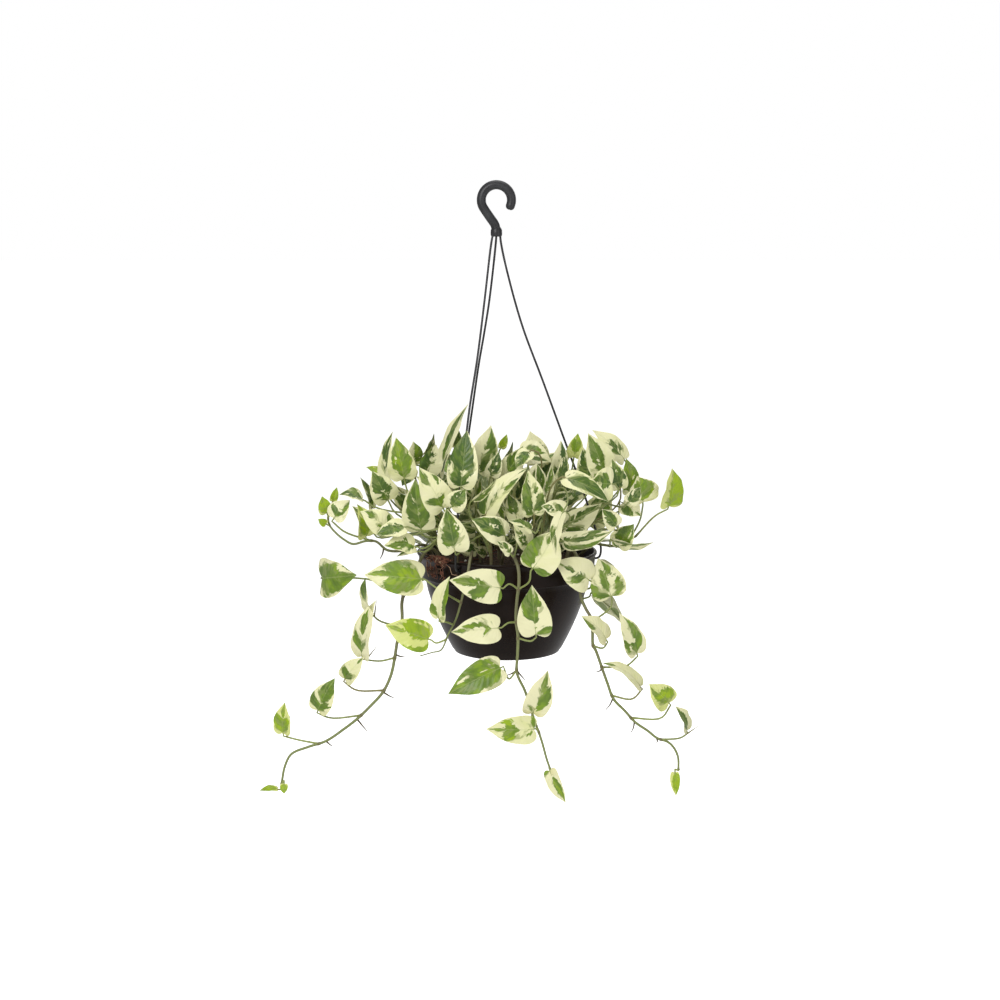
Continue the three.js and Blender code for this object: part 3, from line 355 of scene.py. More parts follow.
def makeStudio():
    cameraData = bpy.data.cameras.new("camera")
    cameraData.lens = studio["lens"]
    camera = placed("camera", cameraData)
    camera.location = (Vector(eye) + rowOrigin) * mm
    camera.rotation_euler = (90 * degree - view["tilt"], 0, 0)
    bpy.context.scene.camera = camera

    bm = bmesh.new()
    bmesh.ops.create_grid(bm, x_segments=1, y_segments=1, size=studio["floorSize"])
    bmesh.ops.translate(bm, verts=bm.verts, vec=(0, 0, -studio["floorDrop"]))
    floor = placed("floor", meshOf("floor", bm))
    paper, start = newMaterial("pale_floor", Base_Color=(0.92, 0.92, 0.92, 1), Roughness=0.9,
                               Emission_Strength=studio["glow"])
    feed(paper, Emission_Color=start.node("ShaderNodeLightPath", {}, {}))
    floor.data.materials.append(paper)

    world = bpy.data.worlds.new("studio")
    bpy.context.scene.world = world
    world.use_nodes = True
    wires = Wire(world.node_tree)
    plain = world.node_tree.nodes["Background"]
    plain.inputs["Color"].default_value = (1, 1, 1, 1)
    plain.inputs["Strength"].default_value = studio["ambient"]
    bright = wires.node("ShaderNodeBackground", {}, {"Color": (1, 1, 1, 1), "Strength": studio["backdrop"]})
    straight = wires.node("ShaderNodeLightPath", {}, {})
    shown = wires.node("ShaderNodeMixShader", {}, {0: straight, 1: Wire(world.node_tree, plain.outputs[0]),
                                                   2: bright})
    world.node_tree.links.new(shown.socket, world.node_tree.nodes["World Output"].inputs["Surface"])

    for name, place, power, size in studio["lamps"]:
        data = bpy.data.lights.new(name, "AREA")
        data.energy = power
        data.size = size
        lamp = placed(name, data)
        lamp.location = place
        lamp.rotation_euler = (Vector(studio["aim"]) - Vector(place)).to_track_quat("-Z", "Y").to_euler()
    bpy.context.scene.view_settings.view_transform = "Standard"


makeStudio()
print("camera and studio made")

# The pot: thin moulded plastic with an upright collar and a tapering body
pot = {
    "rimRadius": 100,
    "lip": 1.6,  # how far the lip stands out of the collar
    "collarHeight": 27,
    "collarFootRadius": 96.5,
    "neckRadius": 91,  # the body just under the collar
    "baseRadius": 59,
    "height": 113,
    "wall": 1.7,
    "floor": 2.2,
    "drainRadius": 4.5,
    "drainRing": 40,
    "drains": 6,
    "holeRadius": 2.9,  # of the holes that the hanger's strands end in
    "holeHeight": -9,
    "steps": 96,
    "colours": [(22, 10, 4), (36, 23, 15)],
}
clipAngles = [0, 122 * degree, 238 * degree]


def bodyRadius(z):
    rise = (z + pot["height"]) / (pot["height"] - pot["collarHeight"])
    return pot["baseRadius"] + (pot["neckRadius"] - pot["baseRadius"]) * (1 - (1 - rise) ** 1.5)


def makePot():
    rim, foot, base = pot["rimRadius"], -pot["collarHeight"], -pot["height"]
    wall, low = pot["wall"], base + pot["floor"]
    heights = [base + 5, -102, -94, -84, -72, -58, -44, -34]
    profile = [(0, base + 0.8), (pot["baseRadius"] - 8, base + 0.8), (pot["baseRadius"] - 6.5, base),
               (pot["baseRadius"] - 2.2, base), (pot["baseRadius"] - 0.3, base + 0.7),
               (pot["baseRadius"] + 0.5, base + 2.2)]
    profile += [(bodyRadius(z), z) for z in heights]
    profile += [(pot["neckRadius"], foot - 1), (pot["neckRadius"] + 0.6, foot - 0.35),
                (pot["collarFootRadius"] - 1, foot), (pot["collarFootRadius"], foot + 0.5),
                (pot["collarFootRadius"] + 0.15, foot + 1.6), (pot["collarFootRadius"] + 1, -14),
                (rim - pot["lip"], -3.5), (rim - 0.5, -3.1), (rim, -2.5), (rim, -0.7), (rim - 0.4, -0.15),
                (rim - 1, 0), (rim - pot["lip"] - wall + 0.3, -0.1), (rim - pot["lip"] - wall, -0.6),
                (pot["collarFootRadius"] - wall + 0.2, foot + wall + 1),
                (pot["collarFootRadius"] - wall - 1, foot + wall), (pot["neckRadius"] - wall, foot + 0.4)]
    profile += [(bodyRadius(z) - wall, z) for z in reversed(heights[1:])]
    profile += [(pot["baseRadius"] - wall, low), (0, low)]
    bm = bmesh.new()
    spun(bm, profile, pot["steps"])
    cutter = bmesh.new()
    for i in range(pot["drains"]):
        angle = 2 * math.pi * (i + 0.5) / pot["drains"]
        place = (pot["drainRing"] * math.cos(angle), pot["drainRing"] * math.sin(angle), base + 1)
        bmesh.ops.create_cone(cutter, cap_ends=True, segments=24, radius1=pot["drainRadius"],
                              radius2=pot["drainRadius"], depth=12, matrix=Matrix.Translation(place))
    for angle in clipAngles:
        turn = Matrix.Rotation(angle, 4, "Z") @ Matrix.Translation((97, 0, pot["holeHeight"]))
        turn = turn @ Matrix.Rotation(90 * degree, 4, "Y")
        bmesh.ops.create_cone(cutter, cap_ends=True, segments=20, radius1=pot["holeRadius"],
                              radius2=pot["holeRadius"], depth=16, matrix=turn)
    bmesh.ops.recalc_face_normals(cutter, faces=cutter.faces)
    tool = placed("drills", meshOf("drills", cutter))
    tool.matrix_world = Matrix.Scale(mm, 4) @ Matrix.Translation(rowOrigin)

    plastic, start = newMaterial("pot_plastic", IOR=1.5, Specular_IOR_Level=0.16)
    place = start.place()
    grime = place.noise(26, 3, 0.6)
    fine = place.noise(420, 2, 0.6)
    feed(plastic, Base_Color=grime.step(-0.4, 1.2).mix(*[linear(*colour) for colour in pot["colours"]]),
         Roughness=grime * 0.05 + fine * 0.03 + 0.3, Normal=(fine + grime * 0.5).bump(0.08, 0.0003))
    piece = newPiece("pot_fine", bm, [plastic], ["pot"])
    cut = piece.modifiers.new("drills", "BOOLEAN")
    cut.object = tool
    cut.solver = "EXACT"
    graph = bpy.context.evaluated_depsgraph_get()
    whole = bpy.data.meshes.new_from_object(piece.evaluated_get(graph))
    piece.modifiers.clear()
    piece.data = whole
    bpy.data.objects.remove(tool)


makePot()
print("pot made")

# The hanger: hook, shank and three strands moulded in one piece
hanger = {
    "strandRadius": 1.25,
    "buttonRadius": 4.2,
    "buttonThickness": 1.8,
    "colours": [(34, 34, 36), (56, 57, 60)],
}
strandStarts = [
    [(500, 233.5, 0), (501, 243, 0), (507, 271, 0), (522, 325, 0), (542.5, 380, 0), (564.5, 440, 0),
     (580, 482, 0), (594, 524, 0)],
    [(496.5, 233.5, -2), (495.6, 245, -4), (489.4, 300, -19), (483.7, 336, -31), (479, 363, -40),
     (473, 404, -53), (466, 455, -70), (461, 510, -85)],
    [(493, 233.5, 2), (491, 245, 5), (484.6, 300, 20), (477.5, 357, 38), (470, 405, 53),
     (466, 437, 63), (460, 490, 77), (456, 540, 88)],
]


def strandRoute(points, angle, steps):
    def out(radius, z):
        return (radius * math.cos(angle), radius * math.sin(angle), z)

    curve = curvePoints([seen(*point) for point in points] + [out(104.4, 4)], steps)
    return curve + [out(104.2, -4), out(102.6, -7.6), out(100, -9), out(93.2, -9)]


strandRoutes = [strandRoute(points, angle, 12) for points, angle in zip(strandStarts, clipAngles)]


def makeHanger():
    bm = bmesh.new()
    x, z = hook["centre"]
    radius = hook["radius"]
    points = [(x + radius * math.cos(turn * degree), 0, z + radius * math.sin(turn * degree))
              for turn in range(-22, 215, 12)]
    points += [(x - 6.5, 0, z - 19.5), (x - 1.5, 0, z - 27), (x, 0, z - 35)]
    route = curvePoints(points, 70)
    radii = [hook["rodRadius"]] * len(route)
    turn = (Vector(route[0]) - Vector(route[1])).normalized()
    for away, share in ((1.4, 0.97), (2.8, 0.86), (3.9, 0.66), (4.6, 0.36)):  # the rod's rounded end
        route.insert(0, tuple(Vector(points[0]) + turn * away))
        radii.insert(0, hook["rodRadius"] * share)
    sweep(bm, route, radii, 20)
    collar = [(0, -5), (4.9, -5), (5.6, -4.6), (6.2, -3.4), (6.3, -1), (6.2, 2), (5.5, 3.6), (4.8, 5), (0, 5)]
    part = bmesh.new()
    spun(part, collar, 32)
    bmesh.ops.translate(part, verts=part.verts, vec=(x, 0, z - 34.5))
    ring = meshOf("collar", part)
    bm.from_mesh(ring)
    bpy.data.meshes.remove(ring)
    for points, angle in zip(strandStarts, clipAngles):
        curve = strandRoute(points, angle, 44)
        bend = curvePoints([curve[-6]] + curve[-5:], 20)
        route = curve[:-6] + bend
        sweep(bm, route, [hanger["strandRadius"]] * len(route), 10)
        place = Matrix.Rotation(angle, 4, "Z") @ Matrix.Translation((92.6, 0, pot["holeHeight"]))
        made = bmesh.ops.create_cone(bm, cap_ends=True, segments=24, radius1=hanger["buttonRadius"],
                                     radius2=hanger["buttonRadius"], depth=hanger["buttonThickness"],
                                     matrix=place @ Matrix.Rotation(90 * degree, 4, "Y"))
        rims = [edge for vert in made["verts"] for edge in vert.link_edges if len(edge.link_faces) == 2
                and any(len(face.verts) > 4 for face in edge.link_faces)]
        bmesh.ops.bevel(bm, geom=list(dict.fromkeys(rims)), offset=0.4, segments=2,
                        affect="EDGES", profile=0.5, material=-1)
    plastic, start = newMaterial("hanger_plastic", IOR=1.48)
    place = start.place()
    wear = place.noise(60, 3, 0.6)
    fine = place.noise(900, 2, 0.5)
    feed(plastic, Base_Color=wear.step(-0.6, 1.1).mix(*[linear(*colour) for colour in hanger["colours"]]),
         Roughness=wear * 0.05 + 0.42, Normal=fine.bump(0.06, 0.0002))
    newPiece("hanger_fine", bm, [plastic], ["hook", "strands"])


makeHanger()
print("hanger made")

# The soil: a low, lumpy mound that the stems stand in
soil = {
    "edgeHeight": -13,
    "crownHeight": -7,
    "rootDepth": 26,
    "straight": 4,  # how far a stem stands straight above the soil
    "beads": 26,  # white beads of rock foam on top
    "chips": 130,  # bits of bark and coir
    "largeBead": (2, -86, 2.3),  # across, to the front, and its radius
    "clumpAngle": -139,  # where a clump of coir hangs over the rim
    "clods": 34,
    "fibres": 90,
    "colours": [(33, 22, 17), (104, 80, 62)],
}
# Crumpled balls: their radius before they are stretched, by the least and up to so much more each way,
# how far they tip over, and the scale and depth of the crumpling
lumps = {
    "clod": {"radius": 1.9, "fineness": 2, "least": (1, 0.7, 0.6), "more": (1, 0.6, 0.5),
             "tip": (6.28, 0), "crumple": (0.6, 1.1)},
    "bead": {"radius": 1.1, "fineness": 2, "least": (1, 1, 0.8), "more": (1, 0.7, 0.5),
             "tip": (1.2, 0.5), "crumple": (0.7, 0.45)},
    "chip": {"radius": 0.8, "fineness": 1, "least": (3, 0.7, 0.5), "more": (7, 1.6, 0.7),
             "tip": (1.2, 0.5), "crumple": (0.7, 0.45)},
}


def soilHeight(x, y):
    rim = min(1, math.hypot(x, y) / pot["neckRadius"])
    mound = soil["crownHeight"] + (soil["edgeHeight"] - soil["crownHeight"]) * rim**2
    return mound + 1.3 * math.sin(x / 9 + 1) * math.cos(y / 8) + 0.8 * math.sin(x / 5 - y / 6)


def makeDraw(seed):
    # A steady source of numbers between 0 and 1
    state = [seed]

    def draw():
        state[0] = (state[0] * 16807) % 2147483647
        return state[0] / 2147483647

    return draw


def clumpPlace(turn, down, away):
    # A point of the clump: down is 0 in the soil, 1 at its lower end outside, away is how far out of it
    angle = (soil["clumpAngle"] + turn) * degree
    fall = curvePoints([(86, -9, 0), (94, 1, 0), (100, 3, 0), (102, -3, 0), (100, -21, 0)], 20)
    radius, z = fall[round(down * 20)][:2]
    return ((radius + away) * math.cos(angle), (radius + away) * math.sin(angle), z + away * 0.4)


def addLump(bm, draw, kind, place, finish):
    span, shift = kind["tip"]
    turn = Matrix.Rotation(6.28 * draw(), 4, "Z") @ Matrix.Rotation(span * (draw() - shift), 4, "X")
    size = Matrix.Diagonal([least + more * draw() for least, more in zip(kind["least"], kind["more"])] + [1])
    lump = bmesh.ops.create_icosphere(bm, subdivisions=kind["fineness"], radius=kind["radius"],
                                      matrix=Matrix.Translation(place) @ turn @ size)
    scale, depth = kind["crumple"]
    for vert in lump["verts"]:
        vert.co += noise.noise_vector(vert.co * scale) * depth
        for face in vert.link_faces:
            face.material_index = finish


def makeClump(bm, draw):
    # Coir and roots in a loose clump over the rim
    for i in range(soil["clods"]):
        down = draw()
        place = clumpPlace(19 * (draw() - 0.5) * (1.1 - 0.4 * down), down, 0.2)
        addLump(bm, draw, lumps["clod"], place, 2 if i % 3 else 0)
    for i in range(soil["fibres"]):
        turn, down = 20 * (draw() - 0.5), draw()
        points = [clumpPlace(turn, down, 1.4)]
        for away in (2.6, 2.4, 1.2):
            turn += 7 * (draw() - 0.5)
            down = min(1, max(0, down + 0.3 * (draw() - 0.45)))
            points.append(clumpPlace(turn, down, away * draw() + 1))
        sweep(bm, curvePoints(points, 6), [0.32] * 7, 4, 3 if i % 4 == 0 else 2)


def makeSoil():
    # Without a seed of its own the noise that crumples the lumps differs from run to run
    noise.seed_set(5)
    draw = makeDraw(91)
    bm = bmesh.new()
    profile = [(0, -pot["height"] + 3), (pot["baseRadius"] - 3, -pot["height"] + 3)]
    profile += [(bodyRadius(z) - 2.6, z) for z in (-98, -84, -68, -50, -34)]
    profile += [(88.4, -26.2), (93.6, -24.4), (95.2, -14)]
    profile += [(radius, 0) for radius in range(94, 0, -2)] + [(0, 0)]
    spun(bm, profile, 150)
    for vert in bm.verts:
        if vert.co.z > -14.5:
            x, y = vert.co.x, vert.co.y
            fall = max(0, math.hypot(x, y) - 92) * 0.4
            crumbs = noise.noise(Vector((x, y, 0)) / 7) * 1.6 + noise.noise(Vector((x, y, 40)) / 2.7) * 1.3
            vert.co.z = soilHeight(x, y) - 0.6 - fall + crumbs
    for i in range(soil["beads"] + soil["chips"]):
        angle, radius = 2 * math.pi * draw(), 90 * math.sqrt(draw())
        x, y = radius * math.cos(angle), radius * math.sin(angle)
        kind, finish = ("bead", 1) if i < soil["beads"] else ("chip", 2)
        addLump(bm, draw, lumps[kind], (x, y, soilHeight(x, y) + 0.2), finish)
    x, y, radius = soil["largeBead"]
    large = bmesh.ops.create_icosphere(bm, subdivisions=2, radius=radius,
                                       matrix=Matrix.Translation((x, y, soilHeight(x, y) + 0.8)))
    for face in {face for vert in large["verts"] for face in vert.link_faces}:
        face.material_index = 1
    makeClump(bm, draw)
    crumb, start = newMaterial("potting_soil")
    place = start.place()
    clods, grains = place.noise(90, 4, 0.65), place.noise(700, 3, 0.6)
    dark, pale = [linear(*colour) for colour in soil["colours"]]
    dark = (clods * 0.5 + grains * 0.5).step(-0.7, 0.9).mix(dark, pale)
    feed(crumb, Base_Color=dark, Roughness=grains * 0.05 + 0.9, Normal=(clods + grains).bump(0.7, 0.001))
    bead = grained("soil_bead", 0.85, (1500, 2), (-0.6, 0.8), (226, 222, 210), (250, 249, 244),
                   (0.5, 0.0004))
    chip = grained("soil_chip", 0.88, (600, 3, 0.6, 1.5), (-0.8, 0.8), (66, 36, 26), (138, 88, 66),
                   (0.5, 0.0004))
    fibre = grained("coir_fibre", 0.8, (160, 2, 0.6), (-0.6, 0.6), (138, 92, 74), (196, 164, 132))
    newPiece("soil_fine", bm, [crumb, bead, chip, fibre], ["soil"])


makeSoil()
print("soil made")

# Leaves and stalks
leafShape = {
    "halfThickness": 0.3,  # in the middle of a blade; its edge is thin
    "stalkRadius": 1.15,
    "tipStalkRadius": 0.9,
    "columns": 16,
    "rows": 20,
    "fold": 0.16,
    "wave": 0.045,
    "fineWave": 0.02,  # finer waves of the edge
    "drawnTip": 0.4,  # how much the tip is narrowed
    "heart": 0.78,  # how far the lobes reach back beside the stalk
    "ripples": 1.6,  # waves along an edge
    "fineRipples": 3.4,
    "stalkJoin": (-4, -1.6),  # where the stalk ends: behind the blade's start and under it
}


def halfWidth(along):
    return math.sin(math.pi * along**0.66) ** 0.85 if 0 < along < 1 else 0


def bladePoint(blade, along, across):
    # along is 0 at the stalk and 1 at the tip, across is -1 and 1 on the edges
    reach = abs(across)
    spread = halfWidth(along)
    width, length = blade["width"], blade["length"]
    aside = 0.5 * width * spread * across
    onward = along - leafShape["heart"] * along**0.6 * (1 - along) ** 3 * reach**1.5
    turns = leafShape["ripples"] * along + blade["phase"] + (0.37 if across > 0 else 0)
    ripple = math.sin(2 * math.pi * turns)
    lift = (blade["arch"] * length * 4 * onward * (1 - onward) + leafShape["fold"] * abs(aside)
            + leafShape["wave"] * width * ripple * reach**2 * spread)
    place = plus(blade["base"], blade["axis"], onward * length)
    return plus(plus(place, blade["side"], aside), blade["normal"], lift)


def makeBlade(base, tip, face, width, arch, phase):
    axis = minus(tip, base)
    length = lengthOf(axis)
    axis = unit(axis)
    normal = unit(plus(face, axis, -dot(face, axis)))
    return {"base": base, "tip": tip, "axis": axis, "normal": normal, "side": cross(normal, axis),
            "length": length, "width": width, "arch": arch, "phase": phase}


def stalkEnd(blade):
    onward, up = leafShape["stalkJoin"]
    return plus(plus(blade["base"], blade["axis"], onward), blade["normal"], up)


def seenBlade(row, shift, swivel, phase):
    # A leaf of the front view, moved toward or away from the eye by the given shift
    tipAcross, tipDown, baseAcross, baseDown, near, tipNearer, width, turn, arch = row[:9]
    base = seen(baseAcross, baseDown, near + shift)
    tip = seen(tipAcross, tipDown, near + shift + tipNearer)
    axis = unit(minus(tip, base))
    toEye = (0, -math.cos(view["tilt"]), math.sin(view["tilt"]))
    toEye = unit(plus(toEye, axis, -dot(toEye, axis)))
    face = plus(scaled(toEye, math.cos((turn + swivel) * degree)), cross(axis, toEye),
                math.sin((turn + swivel) * degree))
    return makeBlade(base, tip, face, width, arch, phase)


# The trailing stems: where each one roots, its route in the front view (across, down, near), its
# first and last radius, and its leaves: the tip (across, down), the stalk's end (across, down), how
# near it is, how much nearer its tip is, its width, its turn from facing the eye in degrees, its
# arch, where its stalk leaves the stem and the stalk's elbow. The looks give each leaf's share of
# green, the side that has more of it, and its tone from 0, deep, to 1, lime.
trailing = {
    "left_vine": (
        (-70, -36),
        [(432, 549, 46), (424, 554, 54), (415, 572, 63), (406, 588, 68), (402, 602, 70),
         (402, 620, 73), (397, 643, 76), (395, 656, 78), (391, 675, 80), (383, 692, 82),
         (370.5, 706, 84), (357, 719, 86), (344, 729, 86), (326, 741, 86), (308, 747, 86),
         (291.5, 754, 86), (285, 766, 86), (281.5, 784, 86)],
        (2.1, 1.3),
        [
            (357, 575, 322, 578, 58, 36, 44, 0, 0.1, 403, 600, 372, 580),
            (366, 577, 371, 612, 86, 2, 24, -62, 0.12, 401, 623, 380, 621),
            (376, 600, 362, 656, 84, 6, 28, -36, 0.13, 395, 657, 380, 661),
            (364, 657, 345, 679, 84, 8, 23, -20, 0.08, 382, 692, 356, 690),
            (335, 678, 318, 710, 86, 4, 27, -14, 0.1, 356, 719, 331, 718),
            (285, 702, 283, 733, 88, 3, 22, -22, 0.08, 326, 741, 299, 740),
            (259, 791, 277, 789, 88, 0, 9, 50, 0.12, 282, 780, 281, 784),
            (284, 794, 284, 784, 88, 2, 9, 0, 0.05, 282, 780, 283, 782),
        ],
    ),
    "front_left_vine": (
        (-40, -62),
        [(472, 552, 88), (470, 560, 99), (467, 578, 105), (462, 598, 108), (460, 606, 109),
         (456, 619, 109), (448, 635, 109), (441, 650, 109), (432, 652.5, 108), (420, 656, 107)],
        (1.8, 0.6),
        [
            (364, 575, 421, 579, 92, -4, 39, 8, 0.06, 461, 601, 438, 589),
            (450, 576, 439, 618, 122, 0, 26, -44, 0.1, 452, 625, 446, 622),
            (385, 625, 428, 639, 108, 0, 35, 6, 0.06, 447, 637, 436, 643),
        ],
    ),
    "front_vine": (
        (-6, -50),
        [(508, 548, 88), (513, 555, 97), (518, 567, 105), (519, 582, 107), (517, 600, 108),
         (516, 619, 109), (518, 637, 110), (517.5, 655, 112), (517, 673, 114), (525, 691, 118),
         (532, 713, 121), (537, 727, 123), (542, 742, 125), (547, 760, 127), (551, 771, 128)],
        (2.1, 1.2),
        [
            (449, 580, 500, 588, 118, 14, 37, 0, 0.05, 518, 584, 509, 584),
            (451, 632, 498, 628, 116, 6, 32, 4, 0.06, 516, 620, 508, 623),
            (532, 585, 536, 634, 120, 6, 37, -6, 0.06, 520, 646, 531, 641),
            (555, 530, 533, 568, 118, -14, 42, 14, 0.12, 520, 592, 529, 582),
            (448, 694, 500, 668, 120, 6, 35, 10, 0.07, 517, 675, 509, 679),
            (548, 670, 533, 713, 124, 6, 30, 12, 0.06, 533, 717, 533, 715),
            (486, 729, 534, 729, 126, 5, 32, -6, 0.06, 538, 728, 536, 728),
            (566, 803, 550, 771, 130, 4, 18, 24, 0.08, 550, 768, 550, 770),
        ],
    ),
    "right_vine": (
        (64, -50),
        [(570, 547, 58), (575, 553, 66), (578.5, 562, 73), (580, 578, 79), (581, 597, 82),
         (586, 609, 85), (591, 618, 87), (592.5, 632, 89), (593, 645, 90), (596, 651, 91),
         (602, 668, 93), (607, 682, 95), (613.6, 699, 97), (625, 711, 99), (635, 722, 100),
         (648, 731, 101), (657, 738, 102), (668, 742, 102), (674, 748, 102), (678, 757, 102),
         (678.5, 770, 102)],
        (2, 1.2),
        [
            (554, 561, 589, 580, 92, 10, 36, 12, 0.1, 581, 595, 590, 588),
            (598, 558, 611, 596, 84, -2, 39, 4, 0.07, 594, 621, 611, 607),
            (581, 616, 606, 639, 104, 2, 30, 50, 0.09, 594, 648, 603, 648),
            (619, 613, 637, 653, 100, 2, 27, 24, 0.1, 602, 668, 626, 666),
            (602, 663, 640, 686, 106, -2, 26, 60, 0.13, 614, 700, 632, 699),
            (649, 684, 669, 703, 106, 8, 29, 12, 0.06, 636, 722, 661, 718),
            (675, 706, 687, 730, 104, 0, 26, 60, 0.12, 658, 738, 680, 738),
            (676, 796, 675, 773, 104, 0, 11, 10, 0.06, 678.5, 767, 677.5, 770),
        ],
    ),
    "left_runner": (
        (-79, -14),
        [(424, 545, 30), (412, 548, 42), (400, 551, 50), (387, 550, 56), (376, 541.5, 60),
         (366, 541, 62), (353, 544, 63), (344, 539.5, 63), (336, 533, 62), (329.5, 525, 61),
         (328, 518, 60)],
        (1.7, 1),
        [
            (322, 496, 327, 513, 60, 6, 16, 0, 0.04, 328.5, 520, 328, 516),
            (337, 487, 333, 501, 56, 0, 9, 10, 0.04, 328.5, 520, 331, 508),
            (318, 519, 326, 524, 66, 4, 9, 0, 0.04, 329, 524, 328, 525),
            (350, 500, 334, 518, 70, -6, 24, -20, 0.12, 366, 541, 345, 532),
            (357, 504, 366, 536, 74, 6, 26, 36, 0.2, 372, 541, 368, 540),
        ],
    ),
    "right_runner": (
        (80, 5),
        [(594, 544, 14), (604, 545, 26), (616, 546, 34), (627, 542, 38), (636, 536, 40)],
        (1.7, 1.1),
        [
            (672, 468, 669, 506, 44, 6, 33, 40, 0.08, 634, 538, 655, 516),
            (637, 476, 643, 502, 52, 6, 42, 26, 0.08, 630, 541, 640, 520),
            (654, 542, 614, 541, 62, 2, 20, 62, 0.12, 606, 545, 610, 543),
            (634, 524, 618, 545, 60, 8, 26, -8, 0.08, 611, 546, 615, 546),
            (641, 516, 623, 503, 58, 4, 24, -16, 0.08, 620, 545, 618, 528),
        ],
    ),
}
vineLooks = {
    "left_vine": [(0.72, 0.1, 0.5), (0.6, -0.3, 0.3), (0.3, 0, 0.5), (0.25, 0.2, 0.35), (0.45, 0.3, 0.4),
                  (0.6, 0, 0.8), (0.8, 0, 1), (0.9, 0, 1)],
    "front_left_vine": [(0.8, 0, 0.65), (0.25, 0, 0.5), (0.6, -0.5, 0.9)],
    "front_vine": [(0.6, 0.1, 0.4), (0.5, 0, 0.45), (0.55, -0.2, 0.4), (0.55, 0.1, 0.5), (0.8, 0, 0.5),
                   (0.5, 0.5, 0.45), (0.4, 0, 0.7), (0.5, 0.5, 0.6)],
    "right_vine": [(0.4, 0, 0.35), (0.55, 0, 0.45), (0.2, 0.3, 0.5), (0.5, 0, 0.4), (0.3, 0, 0.6),
                   (0.5, 0, 0.8), (0.6, 0, 0.3), (0.85, 0, 1)],
    "left_runner": [(0.95, 0, 1), (0.95, 0, 1), (0.95, 0, 1), (0.35, 0, 0.4), (0.5, 0, 0.8)],
    "right_runner": [(0.95, 0.1, 1), (0.75, 0.4, 0.6), (0.9, 0, 0.4), (0.85, 0, 0.4), (0.5, -0.5, 0.3)],
}
